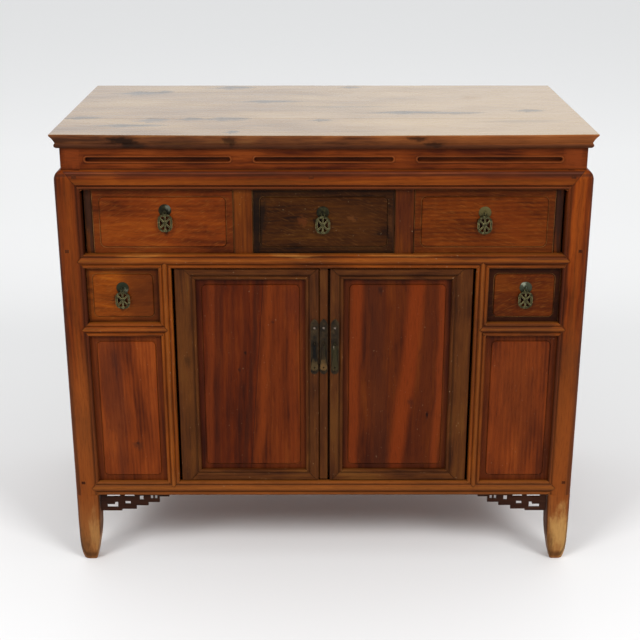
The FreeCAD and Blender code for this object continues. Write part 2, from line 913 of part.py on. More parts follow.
# Fixed frame, cut where pieces are let into each other.
def carcass(pivots, post_sockets):
    middle_section = moulding(middle_z[1] - middle_z[0], slim_bead, slim_rise)
    lower_section = moulding(lower_z[1] - lower_z[0])
    column_section = moulding(column_z[1] - column_z[0])
    middle_rail, middle_seat = front_rail(middle_section, middle_z, -leg_inner, leg_inner)
    lower_rail, lower_seat = front_rail(lower_section, lower_z, -leg_inner, leg_inner)
    column_rail, column_seat = front_rail(column_section, column_z, -leg_inner, -divider_x[1])
    column_rails = both_sides(column_rail)
    left_divider, divider_seat = divider(-divider_x[1], -divider_x[0])
    left_divider = left_divider.cut(column_seat)
    dividers = both_sides(left_divider)
    divider_seats = both_sides(divider_seat)

    upper_front, upper_seat = mitred_upper_rail(Vector(-leg_inner, front, upper_z[0]), X, Y, 2 * leg_inner)
    upper_front = join([upper_front] + both_sides(upper_fillet()))
    side_corner = Vector(-body_half_x, -leg_inner_y, upper_z[0])
    upper_side, upper_side_seat = mitred_upper_rail(side_corner, Y, X, 2 * leg_inner_y)
    middle_side, middle_side_seat = side_rail(middle_section, middle_z)
    lower_side, lower_side_seat = side_rail(lower_section, lower_z)
    side_rails = {
        "upper_rails_side": both_sides(upper_side),
        "middle_rails_side": both_sides(middle_side),
        "lower_rails_side": both_sides(lower_side),
    }
    seats = [middle_seat, lower_seat, upper_seat]
    for seat in (column_seat, upper_side_seat, middle_side_seat, lower_side_seat):
        seats += both_sides(seat)
    rear_rails = [rear_rail(heights) for heights in (upper_z, middle_z, lower_z)]
    g = floor_groove
    floor = block((-body_half_x + rail_depth - g, front + rail_depth - g, floor_z[0]),
                  (body_half_x - rail_depth + g, rear_face + g, floor_z[1]))

    columns = both_sides(column_panel())
    sides = [shape for panel in side_panels() for shape in both_sides(panel)]
    backs = back_panels()
    half = rear_stile_half
    stile = block((-half, rear_face, lower_z[1]), (half, rear_face + rear_depth, middle_z[0]))
    stile = take_out(stile, backs)

    sockets = [pivot_sockets(pivot) for pivot in pivots]
    top_sockets = [top for top, low in sockets] + [post_sockets[0]]
    low_sockets = [low for top, low in sockets] + [post_sockets[1]]
    middle_rail = take_out(middle_rail, divider_seats + top_sockets)
    lower_rail = take_out(lower_rail, divider_seats + columns + [floor] + low_sockets)
    column_rails = [take_out(shape, columns) for shape in column_rails]
    dividers = [take_out(shape, columns) for shape in dividers]
    for name, shapes in side_rails.items():
        side_rails[name] = [take_out(shape, sides + [floor]) for shape in shapes]
    rear_rails = [take_out(shape, backs + [floor]) for shape in rear_rails]

    rail_pegs = [peg(x, rail_peg_z) for x in rail_peg_x]
    leg_pegs = [shape for z in leg_peg_z for shape in both_sides(peg(leg_peg_x, z))]
    pegs = [upper_front.common(shape) for shape in rail_pegs]
    upper_front = take_out(upper_front, rail_pegs)

    neighbours = seats + columns + sides + backs + rear_rails
    legs = {}
    for name, y_sign, moulded in (("leg_front", -1, True), ("leg_rear", 1, False)):
        for side, shape in zip(("left", "right"), both_sides(leg(y_sign, moulded))):
            shape = take_out(shape, neighbours)
            if y_sign < 0:
                shared = [shape.common(other) for other in leg_pegs]
                pegs += [solid for solid in shared if solid.Volume > tiny]
                shape = take_out(shape, leg_pegs)
            legs[name + "_" + side] = [shape]
    floor = take_out(floor, [shape for shapes in legs.values() for shape in shapes])

    nodes = dict(legs)
    nodes.update(side_rails)
    nodes["upper_rail_front"] = [upper_front]
    nodes["middle_rail_front"] = [middle_rail]
    nodes["lower_rail_front"] = [lower_rail]
    nodes["column_rails"] = column_rails
    nodes["divider_left"] = [dividers[0]]
    nodes["divider_right"] = [dividers[1]]
    nodes["column_panels"] = columns
    nodes["side_panels"] = sides
    nodes["rear_frame"] = rear_rails + [stile]
    nodes["back_panels"] = backs
    nodes["cupboard_floor"] = [floor]
    nodes["tenon_pegs"] = pegs
    return nodes


# Top, waist, drawer divisions, brackets and what carries the drawers.
def trim():
    waist_front = carve(waist_board(body_half_x, body_half_y, X, -Y), front_slots,
                        Vector(0, front + waist_set, slot_centre_z), X, -Y)
    waist_side = carve(waist_board(body_half_y, body_half_x, Y, -X), side_slots,
                       Vector(-body_half_x + waist_set, 0, slot_centre_z), Y, -X)
    waist_inner = body_half_y - waist_set - waist_thick
    w, h = batten_size
    near = -batten_x - w / 2
    batten = block((near, -waist_inner, waist_z[1] - h), (near + w, waist_inner, waist_z[1]))
    z0 = middle_z[1]
    z1 = upper_z[0]
    behind = front + rail_depth
    muntin = block((-muntin_x[1], front + muntin_set, z0), (-muntin_x[0], behind, z1))
    strip = block((-strip_x[1], front + strip_set, z0), (-strip_x[0], behind, z1))
    partition = block((-partition_x[1], behind, partition_z[0]), (-partition_x[0], rear_face, partition_z[1]))
    return {
        "top_boards": top_boards(),
        "top_battens": both_sides(batten),
        "waist_front": [waist_front],
        "waist_sides": both_sides(waist_side),
        "waist_rear": [waist_board(body_half_x, body_half_y, X, Y)],
        "drawer_muntins": both_sides(muntin) + both_sides(strip),
        "corner_brackets": both_sides(bracket()),
        "drawer_partitions": both_sides(partition),
        "drawer_runners": runners(),
    }


# Three upper drawers and two small ones, each with its pull.
def drawers():
    upper = (middle_z[1], upper_z[0], upper_box_rear, upper_margin)
    small = (column_z[1], middle_z[0], small_box_rear, small_margin)
    places = {
        "drawer_left": (-strip_x[0], -muntin_x[1]) + upper,
        "drawer_centre": (-muntin_x[0], muntin_x[0]) + upper,
        "drawer_right": (muntin_x[1], strip_x[0]) + upper,
        "drawer_small_left": (-leg_inner, -divider_x[1]) + small,
        "drawer_small_right": (divider_x[1], leg_inner) + small,
    }
    nodes = {}
    for name, (x0, x1, z0, z1, rear, margin) in places.items():
        pull_shift, pull_z = pull_places[name]
        pull_x = (x0 + x1) / 2 + pull_shift
        face, box = drawer(x0, x1, z0, z1, rear, margin, pull_x, pull_z)
        plate, pivot = pull_plate(pull_x, front + drawer_set - field_raise, pull_z)
        nodes[name + "_front"] = [face]
        nodes[name + "_box"] = box
        nodes[name + "_plate"] = [plate]
        nodes[name + "_pendant"] = [pull_pendant(pivot)]
        print(name, "pendant pivot", pivot)
    return nodes


def main():
    os.makedirs("parts", exist_ok=True)
    nodes = drawers()
    pivots = []
    for name, edges in (("door_left", door_left_x), ("door_right", door_right_x)):
        frame, panel, pivot = door(*edges)
        pivots.append(pivot)
        nodes[name + "_frame"] = frame
        nodes[name + "_panel"] = [panel]
        print(name, "pivot", pivot)
    post, top_socket, low_socket = centre_post()
    nodes["centre_post"] = post
    for name, x, face in (("door_left", plate_left_x, door_face), ("centre_post", 0.0, post_face),
                          ("door_right", plate_right_x, door_face)):
        plate, pivot = lock_plate(x, face)
        nodes[name + "_plate"] = [plate]
        nodes[name + "_pendant"] = [lock_pendant(pivot)]
        print(name, "pendant pivot", pivot)
    nodes.update(carcass(pivots, (top_socket, low_socket)))
    nodes.update(trim())
    for name, shapes in nodes.items():
        save(name, shapes)
        solids = sum(len(shape.Solids) for shape in shapes)
        valid = all(shape.isValid() for shape in shapes)
        volume = round(sum(shape.Volume for shape in shapes))
        print(name, "solids", solids, "valid", valid, "volume", volume)


main()
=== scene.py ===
import bpy
import bmesh
import json
import math
import random
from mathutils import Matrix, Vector, noise


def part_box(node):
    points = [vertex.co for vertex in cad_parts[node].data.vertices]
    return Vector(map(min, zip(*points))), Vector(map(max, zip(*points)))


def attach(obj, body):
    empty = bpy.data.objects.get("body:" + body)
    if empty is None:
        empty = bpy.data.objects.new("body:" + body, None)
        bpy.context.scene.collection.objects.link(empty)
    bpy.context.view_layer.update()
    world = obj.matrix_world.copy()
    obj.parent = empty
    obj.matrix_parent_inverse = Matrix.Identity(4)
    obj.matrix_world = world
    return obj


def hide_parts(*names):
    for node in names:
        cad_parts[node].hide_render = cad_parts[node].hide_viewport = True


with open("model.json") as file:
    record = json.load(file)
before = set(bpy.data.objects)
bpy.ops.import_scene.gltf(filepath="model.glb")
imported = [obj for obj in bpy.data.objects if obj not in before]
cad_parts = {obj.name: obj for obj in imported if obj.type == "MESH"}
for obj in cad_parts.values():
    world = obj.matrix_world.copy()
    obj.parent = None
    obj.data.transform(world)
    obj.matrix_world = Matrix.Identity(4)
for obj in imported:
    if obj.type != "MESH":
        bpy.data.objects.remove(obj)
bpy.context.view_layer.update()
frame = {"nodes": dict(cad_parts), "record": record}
mm = 0.001
print("frame loaded:", len(frame["nodes"]), "nodes")


def linearColour(hexCode):
    channels = [int(hexCode[i:i + 2], 16) / 255 for i in (1, 3, 5)]
    return [c / 12.92 if c < 0.04045 else ((c + 0.055) / 1.055) ** 2.4 for c in channels] + [1.0]


def addNode(tree, kind, settings=None, links=None):
    node = tree.nodes.new("ShaderNode" + kind)
    for key, value in (settings or {}).items():
        if key == "stops":  # place and hex colour of each stop of a ramp
            while len(node.color_ramp.elements) < len(value):
                node.color_ramp.elements.new(1.0)
            for element, (spot, hexCode) in zip(node.color_ramp.elements, value):
                element.position = spot
                element.color = linearColour(hexCode)
        elif isinstance(key, str) and hasattr(node, key):
            setattr(node, key, value)
        else:
            node.inputs[key].default_value = value
    for key, source in (links or {}).items():
        tree.links.new(source, node.inputs[key])
    return node


def newMaterial(name):
    material = bpy.data.materials.new(name)
    material.use_nodes = True
    material.node_tree.nodes.clear()
    return material


def grainScale(width, stretch, axis):  # mm across the grain, and how many times longer along it
    scale = [1 / (width * mm)] * 3
    scale[axis] /= stretch
    return scale


# Oiled elm: amber brown wood with open pores, softly streaked along the grain, pale where it is rubbed,
# with a painted highlight on edges and crests, and dark with old polish and painted shade in every groove.
# Pores are drawn about 1.4 mm wide so that they show.
elm = {
    "name": "oiledElmRails",
    "dark": "#481F08", "base": "#66300D", "mid": "#733710", "light": "#854616",
    "grimeShade": "#170904", "rubbed": "#96602C", "crest": "#8E5420", "knock": "#B49470", "pit": "#8A7A70",
    "streak": 4.5, "stretch": 24, "streakShare": 0.7,  # mm across, times longer along
    "cloud": 55, "cloudStretch": 3.0, "cloudShare": 0.65,
    "ring": 8.0, "ringShare": 0.1, "tilt": 14,
    "pore": 1.4, "poreStretch": 20, "poreShare": 0.3,
    "boardShare": 0.1, "sway": 14, "wander": 150,
    "grooveFrom": 2.2, "grooveFull": 3.6, "grooveEnd": 4.6, "grooveShare": 0.5,  # mm below the board's face
    "crestTo": 1.5, "crestHighlightShare": 0.0,
    "edgeAxes": "", "edgeReach": 6, "hidden": 0, "edgeShare": 0.6,
    "fleck": 2.2, "fleckStretch": 9, "fleckTurn": 35, "flecks": 0.0, "chip": 4, "chips": 0.0,
    "rubHighlightShare": 0.4, "rough": 0.42, "shine": 0.06, "bump": 0.2, "relief": 0.5,
    "boards": [], "bands": [], "spots": [], "fades": [],
}


def woodGrain(tree, look, axis):  # where the pattern lies on its board, and its streaks, pores and rings
    spot = addNode(tree, "TexCoord")
    centre = addNode(tree, "Attribute", {"attribute_name": "boardCentre"})
    chance = addNode(tree, "Attribute", {"attribute_name": "boardChance"})
    local = addNode(tree, "VectorMath", {"operation": "SUBTRACT"},
                    {0: spot.outputs["Object"], 1: centre.outputs["Vector"]})
    shifted = addNode(tree, "VectorMath", {"operation": "MULTIPLY_ADD", 1: (2.0, 2.0, 2.0)},
                      {0: chance.outputs["Vector"], 2: local.outputs[0]})

    # the grain wanders a little across the board
    wander = addNode(tree, "TexNoise", {"Scale": 1 / (look["wander"] * mm), "Detail": 1.5},
                     {"Vector": shifted.outputs[0]})
    sway = [look["sway"] * mm] * 3
    bent = addNode(tree, "VectorMath", {"operation": "MULTIPLY_ADD", 1: sway},
                   {0: wander.outputs[1], 2: shifted.outputs[0]})
    swayed = addNode(tree, "VectorMath", {"operation": "MULTIPLY_ADD", 1: sway},
                     {0: wander.outputs[1], 2: spot.outputs["Object"]})
    streakMap = addNode(tree, "Mapping", {"Scale": grainScale(look["streak"], look["stretch"], axis)},
                        {"Vector": bent.outputs[0]})
    streaks = addNode(tree, "TexNoise", {"Scale": 1.0, "Detail": 5.0, "Roughness": 0.6},
                      {"Vector": streakMap.outputs[0]})
    poreMap = addNode(tree, "Mapping", {"Scale": grainScale(look["pore"], look["poreStretch"], axis)},
                      {"Vector": bent.outputs[0]})
    pores = addNode(tree, "TexNoise", {"Scale": 1.0, "Detail": 2.0}, {"Vector": poreMap.outputs[0]})
    cloudMap = addNode(tree, "Mapping", {"Scale": grainScale(look["cloud"], look["cloudStretch"], axis)},
                       {"Vector": bent.outputs[0]})
    clouds = addNode(tree, "TexNoise", {"Scale": 1.0, "Detail": 3.0}, {"Vector": cloudMap.outputs[0]})

    # growth rings round a heart that lies at a different place for each board
    heart = addNode(tree, "VectorMath", {"operation": "MULTIPLY_ADD", 1: (0.2, 0.2, 0.2)},
                    {0: chance.outputs["Vector"], 2: local.outputs[0]})
    logScale = [1.0, 1.0, 1.0]
    logScale[axis] = 0.12  # rings run far along the log
    logTurn = [math.radians(look["tilt"])] * 3
    logTurn[axis] = 0.0
    logMap = addNode(tree, "Mapping", {"Scale": logScale, "Rotation": logTurn}, {"Vector": heart.outputs[0]})
    rings = addNode(tree, "TexWave",
                    {"wave_type": "RINGS", "rings_direction": "XYZ"[axis],
                     "Scale": 0.314 / (look["ring"] * mm),  # at scale 1 a wave is 0.314 m long
                     "Distortion": 4.0, "Detail": 3.0, "Detail Scale": 0.9, "Detail Roughness": 0.6},
                    {"Vector": logMap.outputs[0]})
    chances = addNode(tree, "SeparateXYZ", {}, {0: chance.outputs["Vector"]})
    return {"object": spot.outputs["Object"], "local": local.outputs[0], "wander": wander.outputs[1],
            "bent": bent.outputs[0], "swayed": swayed.outputs[0], "streak": streaks.outputs[0],
            "cloud": clouds.outputs[0], "pore": pores.outputs[0], "ring": rings.outputs[1],
            "board": chances.outputs[0]}


def paintGrain(tree, look, grain):
    kinds = ("streak", "cloud", "ring", "board")
    tone = addNode(tree, "Value")
    tone.outputs[0].default_value = 0.5 - sum(look[kind + "Share"] for kind in kinds) / 2
    for kind in kinds:
        tone = addNode(tree, "Math", {"operation": "MULTIPLY_ADD", 1: look[kind + "Share"]},
                       {0: grain[kind], 2: tone.outputs[0]})
    colour = addNode(tree, "ValToRGB", {"stops": [(0.25, look["dark"]), (0.44, look["base"]),
                                                  (0.57, look["mid"]), (0.75, look["light"])]},
                     {0: tone.outputs[0]})
    return colour.outputs[0]


glueLine = {"soft": 0.8, "half": 0.7, "share": 0.6}  # mm on each side of it, and how dark it is
bandEdge = {"drift": 16, "rag": 0.6, "full": 0.7, "end": 1.8}  # mm, then widths of the band


def paintBoards(tree, look, axis, grain, paint):  # glued boards and tone bands, in mm from the middle
    parts = addNode(tree, "SeparateXYZ", {}, {0: grain["local"]})
    bends = addNode(tree, "SeparateXYZ", {}, {0: grain["wander"]})
    across, along = (0, 2) if axis == 2 else (2, 0)
    for place, slant, shade, share in look["boards"]:
        line = addNode(tree, "Math", {"operation": "MULTIPLY_ADD", 1: -slant},
                       {0: parts.outputs[along], 2: parts.outputs[across]})
        cover = addNode(tree, "MapRange",
                        {"From Min": (place - glueLine["soft"]) * mm,
                         "From Max": (place + glueLine["soft"]) * mm,
                         "To Min": share, "To Max": 0.0}, {"Value": line.outputs[0]})
        blend = addNode(tree, "Mix", {"data_type": "RGBA", "blend_type": "MULTIPLY", 7: linearColour(shade)},
                        {0: cover.outputs[0], 6: paint})
        seam = addNode(tree, "Math", {"operation": "COMPARE", 1: place * mm, 2: glueLine["half"] * mm},
                       {0: line.outputs[0]})
        dark = addNode(tree, "Math", {"operation": "MULTIPLY", 1: glueLine["share"]}, {0: seam.outputs[0]})
        blend = addNode(tree, "Mix", {"data_type": "RGBA", 7: linearColour(look["grimeShade"])},
                        {0: dark.outputs[0], 6: blend.outputs[2]})
        paint = blend.outputs[2]
    for place, width, slant, shade, share in look["bands"]:
        line = addNode(tree, "Math", {"operation": "MULTIPLY_ADD", 1: -slant},
                       {0: parts.outputs[along], 2: parts.outputs[across]})
        line = addNode(tree, "Math", {"operation": "MULTIPLY_ADD", 1: bandEdge["drift"] * mm},
                       {0: bends.outputs[across], 2: line.outputs[0]})
        line = addNode(tree, "Math", {"operation": "SUBTRACT", 1: (place + bandEdge["drift"] / 2) * mm},
                       {0: line.outputs[0]})
        line = addNode(tree, "Math", {"operation": "ABSOLUTE"}, {0: line.outputs[0]})
        line = addNode(tree, "Math", {"operation": "MULTIPLY_ADD", 1: width * bandEdge["rag"] * mm},
                       {0: grain["streak"], 2: line.outputs[0]})
        cover = addNode(tree, "MapRange",
                        {"interpolation_type": "SMOOTHSTEP", "From Min": width * bandEdge["full"] * mm,
                         "From Max": width * bandEdge["end"] * mm, "To Min": share, "To Max": 0.0},
                        {"Value": line.outputs[0]})
        blend = addNode(tree, "Mix", {"data_type": "RGBA", 7: linearColour(shade)},
                        {0: cover.outputs[0], 6: paint})
        paint = blend.outputs[2]
    return paint


def paintFlecks(tree, look, axis, grain, paint):  # light flecks that cross the grain, and tiny pale knocks
    if look["flecks"]:
        fleckTurn = [0.0, math.radians(look["fleckTurn"]), 0.0]
        turned = addNode(tree, "Mapping", {"Rotation": fleckTurn}, {"Vector": grain["bent"]})
        fleckMap = addNode(tree, "Mapping", {"Scale": grainScale(look["fleck"], look["fleckStretch"], axis)},
                           {"Vector": turned.outputs[0]})
        flecks = addNode(tree, "TexNoise", {"Scale": 1.0, "Detail": 2.0}, {"Vector": fleckMap.outputs[0]})
        bright = addNode(tree, "MapRange", {"From Min": 0.54, "From Max": 0.72, "To Max": look["flecks"]},
                         {"Value": flecks.outputs[0]})
        blend = addNode(tree, "Mix", {"data_type": "RGBA", 7: linearColour(look["crest"])},
                        {0: bright.outputs[0], 6: paint})
        paint = blend.outputs[2]
    if look["chips"]:
        knocks = addNode(tree, "TexNoise", {"Scale": 1 / (look["chip"] * mm), "Detail": 1.0},
                         {"Vector": grain["bent"]})
        pale = addNode(tree, "MapRange", {"From Min": 0.75, "From Max": 0.79, "To Max": look["chips"]},
                       {"Value": knocks.outputs[0]})
        blend = addNode(tree, "Mix", {"data_type": "RGBA", 7: linearColour(look["knock"])},
                        {0: pale.outputs[0], 6: paint})
        paint = blend.outputs[2]
    return paint


spotEdge = {"rag": 1.4, "push": 2.6, "full": 1.6, "end": 2.4}  # in sizes of the spot


def paintSpots(tree, spots, where, drift, paint):  # knots, stains and worn patches; a size of 0 runs through
    for at, size, shade, share in spots:
        scale = [1000 / s if s else 0.0 for s in size]
        shift = [-(p + drift) / s if s else 0.0 for p, s in zip(at, size)]
        offset = addNode(tree, "Mapping", {"Location": shift, "Scale": scale}, {"Vector": where})
        ragged = addNode(tree, "TexNoise", {"Scale": spotEdge["rag"], "Detail": 6.0, "Roughness": 0.62},
                         {"Vector": offset.outputs[0]})
        reach = addNode(tree, "VectorMath", {"operation": "LENGTH"}, {0: offset.outputs[0]})
        reach = addNode(tree, "Math", {"operation": "MULTIPLY_ADD", 1: spotEdge["push"]},
                        {0: ragged.outputs[0], 2: reach.outputs[1]})
        cover = addNode(tree, "MapRange",
                        {"interpolation_type": "SMOOTHSTEP", "From Min": spotEdge["full"],
                         "From Max": spotEdge["end"], "To Min": share, "To Max": 0.0},
                        {"Value": reach.outputs[0]})
        blend = addNode(tree, "Mix", {"data_type": "RGBA", 7: linearColour(shade)},
                        {0: cover.outputs[0], 6: paint})
        paint = blend.outputs[2]
    return paint


fadeRag = 0.8  # how far clouds push the line of a fade, in lengths of its run


def paintFades(tree, look, grain, paint):  # slow changes along the cabinet, in mm
    places = addNode(tree, "SeparateXYZ", {}, {0: grain["object"]})
    for letter, start, end, shade, share in look["fades"]:
        run = end - start
        ragged = addNode(tree, "Math", {"operation": "MULTIPLY_ADD", 1: run * fadeRag * mm},
                         {0: grain["cloud"], 2: places.outputs["XYZ".index(letter)]})
        cover = addNode(tree, "MapRange",
                        {"interpolation_type": "SMOOTHSTEP", "From Min": (start + run * fadeRag / 2) * mm,
                         "From Max": (end + run * fadeRag / 2) * mm, "To Max": share},
                        {"Value": ragged.outputs[0]})
        blend = addNode(tree, "Mix", {"data_type": "RGBA", 7: linearColour(shade)},
                        {0: cover.outputs[0], 6: paint})
        paint = blend.outputs[2]
    return paint


def oldPolish(tree, look, grain, groove):  # grime and painted shade: darker in the grooves and along the borders
    deep = addNode(tree, "MapRange", {"interpolation_type": "SMOOTHSTEP", "From Min": look["grooveFrom"],
                                      "From Max": look["grooveFull"], "To Max": look["grooveShare"]},
                   {"Value": groove})
    shallow = addNode(tree, "MapRange", {"From Min": look["grooveEnd"], "From Max": look["grooveEnd"] + 1.5,
                                         "To Min": 1.0, "To Max": 0.0}, {"Value": groove})
    grimeShadeMask = addNode(tree, "Math", {"operation": "MULTIPLY"}, {0: deep.outputs[0], 1: shallow.outputs[0]})
    if look["edgeAxes"]:
        half = addNode(tree, "Attribute", {"attribute_name": "boardHalf"})
        size = addNode(tree, "VectorMath", {"operation": "ABSOLUTE"}, {0: grain["local"]})
        inset = addNode(tree, "VectorMath", {"operation": "SUBTRACT"},
                        {0: half.outputs["Vector"], 1: size.outputs[0]})
        insets = addNode(tree, "SeparateXYZ", {}, {0: inset.outputs[0]})
        nearest = insets.outputs["XYZ".index(look["edgeAxes"][0])]
        for letter in look["edgeAxes"][1:]:
            lower = addNode(tree, "Math", {"operation": "MINIMUM"},
                            {0: nearest, 1: insets.outputs["XYZ".index(letter)]})
            nearest = lower.outputs[0]
        ragged = addNode(tree, "Math", {"operation": "MULTIPLY_ADD", 1: -look["edgeReach"] * mm},
                         {0: grain["cloud"], 2: nearest})
        border = addNode(tree, "MapRange",
                         {"interpolation_type": "SMOOTHSTEP", "To Min": look["edgeShare"], "To Max": 0.0,
                          "From Min": (look["hidden"] - look["edgeReach"] * 0.5) * mm,
                          "From Max": (look["hidden"] + look["edgeReach"] * 0.5) * mm},
                         {"Value": ragged.outputs[0]})
        grimeShadeMask = addNode(tree, "Math", {"operation": "MAXIMUM"}, {0: grimeShadeMask.outputs[0], 1: border.outputs[0]})
    return grimeShadeMask.outputs[0]


def agedWood(look, axis):
    name = look["name"] + "Along" + "XYZ"[axis]
    if name in bpy.data.materials:
        return bpy.data.materials[name]
    wood = newMaterial(name)
    tree = wood.node_tree
    groove = addNode(tree, "Attribute", {"attribute_name": "groove"})
    rubbed = addNode(tree, "Attribute", {"attribute_name": "rubbed"})
    grain = woodGrain(tree, look, axis)
    paint = paintGrain(tree, look, grain)
    paint = paintBoards(tree, look, axis, grain, paint)
    paint = paintFlecks(tree, look, axis, grain, paint)
    paint = paintFades(tree, look, grain, paint)
    paint = paintSpots(tree, look["spots"], grain["swayed"], look["sway"] / 2, paint)

    # painted highlight on crests, open pores, old polish and painted shade, then edges rubbed pale in
    # patches, partly a painted highlight
    crest = addNode(tree, "MapRange", {"interpolation_type": "SMOOTHSTEP", "From Max": look["crestTo"],
                                       "To Min": look["crestHighlightShare"], "To Max": 0.0},
                    {"Value": groove.outputs["Fac"]})
    crestHighlit = addNode(tree, "Mix", {"data_type": "RGBA", 7: linearColour(look["crest"])},
                     {0: crest.outputs[0], 6: paint})
    pits = addNode(tree, "MapRange", {"From Min": 0.53, "From Max": 0.66, "To Max": look["poreShare"]},
                   {"Value": grain["pore"]})
    pored = addNode(tree, "Mix",
                    {"data_type": "RGBA", "blend_type": "MULTIPLY", 7: linearColour(look["pit"])},
                    {0: pits.outputs[0], 6: crestHighlit.outputs[2]})
    grimeShadeMask = oldPolish(tree, look, grain, groove.outputs["Fac"])
    grimeShaded = addNode(tree, "Mix", {"data_type": "RGBA", 7: linearColour(look["grimeShade"])},
                    {0: grimeShadeMask, 6: pored.outputs[2]})
    patchy = addNode(tree, "MapRange", {"From Min": 0.35, "From Max": 0.65, "To Max": look["rubHighlightShare"]},
                     {"Value": grain["cloud"]})
    rubHighlight = addNode(tree, "Math", {"operation": "MULTIPLY"}, {0: rubbed.outputs["Fac"], 1: patchy.outputs[0]})
    wornAndHighlit = addNode(tree, "Mix", {"data_type": "RGBA", 7: linearColour(look["rubbed"])},
                   {0: rubHighlight.outputs[0], 6: grimeShaded.outputs[2]})

    rough = addNode(tree, "Math", {"operation": "MULTIPLY_ADD", 1: 0.2, 2: look["rough"] - 0.1},
                    {0: grain["streak"]})
    rough = addNode(tree, "Math", {"operation": "MULTIPLY_ADD", 1: 0.2}, {0: grimeShadeMask, 2: rough.outputs[0]})
    height = addNode(tree, "Math", {"operation": "MULTIPLY_ADD", 1: -0.5},
                     {0: pits.outputs[0], 2: grain["streak"]})
    bump = addNode(tree, "Bump", {"Strength": look["bump"], "Distance": look["relief"] * mm},
                   {"Height": height.outputs[0]})
    shader = addNode(tree, "BsdfPrincipled", {"IOR": 1.5, "Specular IOR Level": look["shine"]},
                     {"Base Color": wornAndHighlit.outputs[2], "Roughness": rough.outputs[0],
                      "Normal": bump.outputs[0]})
    addNode(tree, "OutputMaterial", {}, {"Surface": shader.outputs[0]})
    return wood


# Cast bronze with a green-black patina: dull dark olive, rubbed to brass on its rims, which carry a painted
# highlight too
bronze = {
    "name": "patinatedBronzePlates", "dark": "#0E0F08", "base": "#1F1F11", "light": "#3A3820",
    "rubbed": "#6E6440", "cloud": 9, "speck": 1.2, "metal": 0.7, "rough": 0.55,
    "bump": 0.35, "relief": 0.25, "spots": [],
}


def patinatedBronze(look):
    if look["name"] in bpy.data.materials:
        return bpy.data.materials[look["name"]]
    metal = newMaterial(look["name"])
    tree = metal.node_tree
    spot = addNode(tree, "TexCoord")
    rubbed = addNode(tree, "Attribute", {"attribute_name": "rubbed"})
    clouds = addNode(tree, "TexNoise", {"Scale": 1 / (look["cloud"] * mm), "Detail": 4.0},
                     {"Vector": spot.outputs["Object"]})
    specks = addNode(tree, "TexNoise", {"Scale": 1 / (look["speck"] * mm), "Detail": 2.0},
                     {"Vector": spot.outputs["Object"]})
    colour = addNode(tree, "ValToRGB",
                     {"stops": [(0.3, look["dark"]), (0.52, look["base"]), (0.74, look["light"])]},
                     {0: clouds.outputs[0]})
    rubHighlight = addNode(tree, "Math", {"operation": "MULTIPLY"}, {0: rubbed.outputs["Fac"], 1: clouds.outputs[0]})
    wornAndHighlit = addNode(tree, "Mix", {"data_type": "RGBA", 7: linearColour(look["rubbed"])},
                   {0: rubHighlight.outputs[0], 6: colour.outputs[0]})
    paint = paintSpots(tree, look["spots"], spot.outputs["Object"], 0, wornAndHighlit.outputs[2])
    rough = addNode(tree, "Math", {"operation": "MULTIPLY_ADD", 1: 0.3, 2: look["rough"] - 0.15},
                    {0: specks.outputs[0]})
    bump = addNode(tree, "Bump", {"Strength": look["bump"], "Distance": look["relief"] * mm},
                   {"Height": specks.outputs[0]})
    shader = addNode(tree, "BsdfPrincipled", {"Metallic": look["metal"], "Specular IOR Level": 0.15},
                     {"Base Color": paint, "Roughness": rough.outputs[0], "Normal": bump.outputs[0]})
    addNode(tree, "OutputMaterial", {}, {"Surface": shader.outputs[0]})
    return metal


def islands(bm):
    left = set(bm.verts)
    while left:
        group = {left.pop()}
        edge = list(group)
        while edge:
            vert = edge.pop()
            for link in vert.link_edges:
                other = link.other_vert(vert)
                if other in left:
                    left.discard(other)
                    group.add(other)
                    edge.append(other)
        yield group


def boxOf(verts):
    low = Vector([min(v.co[i] for v in verts) for i in range(3)])
    high = Vector([max(v.co[i] for v in verts) for i in range(3)])
    return low, high


def solidsOf(bm):  # a solid's triangles follow each other, and its shell closes with the last of them
    run, openEdges = [], set()
    for face in bm.faces:
        run.append(face)
        corners = [tuple(round(c / (0.01 * mm)) for c in vert.co) for vert in face.verts]
        for pair in zip(corners, corners[1:] + corners[:1]):
            if pair[0] != pair[1]:
                openEdges ^= {frozenset(pair)}
        if not openEdges:
            yield run
            run = []
    if run:
        yield run


easing = {"weld": 0.004, "level": 0.3, "arris": 38, "segments": 2, "crease": 36}  # mm, degrees


def easedCopy(node, ease, shortest=0.0, flat=True):
    bm = bmesh.new()
    bm.from_mesh(frame["nodes"][node].data)
    rubbed = bm.faces.layers.float.new("rubbed")
    for run in list(solidsOf(bm)):
        corners = list(dict.fromkeys(v for face in run for v in face.verts))  # in the same order every time
        bmesh.ops.remove_doubles(bm, verts=corners, dist=easing["weld"] * mm)
    fins = [face for face in bm.faces if sum(e.is_boundary for e in face.edges) > 1]  # slivers of the weld
    bmesh.ops.delete(bm, geom=fins, context="FACES")
    if flat:
        level = math.radians(easing["level"])
        bmesh.ops.dissolve_limit(bm, angle_limit=level, verts=bm.verts, edges=bm.edges)
    low, high = boxOf(bm.verts)
    arrises = [e for e in bm.edges if e.is_manifold and e.is_convex
               and e.calc_face_angle() > math.radians(easing["arris"]) and e.calc_length() > shortest * mm]
    made = bmesh.ops.bevel(bm, geom=arrises, offset=ease * mm, offset_type="OFFSET", affect="EDGES",
                           segments=easing["segments"], profile=0.5, material=-1, clamp_overlap=False)
    for face in made["faces"]:
        face[rubbed] = 1.0
    for vert in bm.verts:  # nothing stands outside the node's own box
        vert.co = [min(max(vert.co[i], low[i]), high[i]) for i in range(3)]
    bm.normal_update()
    return bm


grooveShadeMarks = {"deepest": 12.0, "tip": 0.15, "spread": 0.4, "under": 9, "along": 0.8}  # mm, parts of a normal


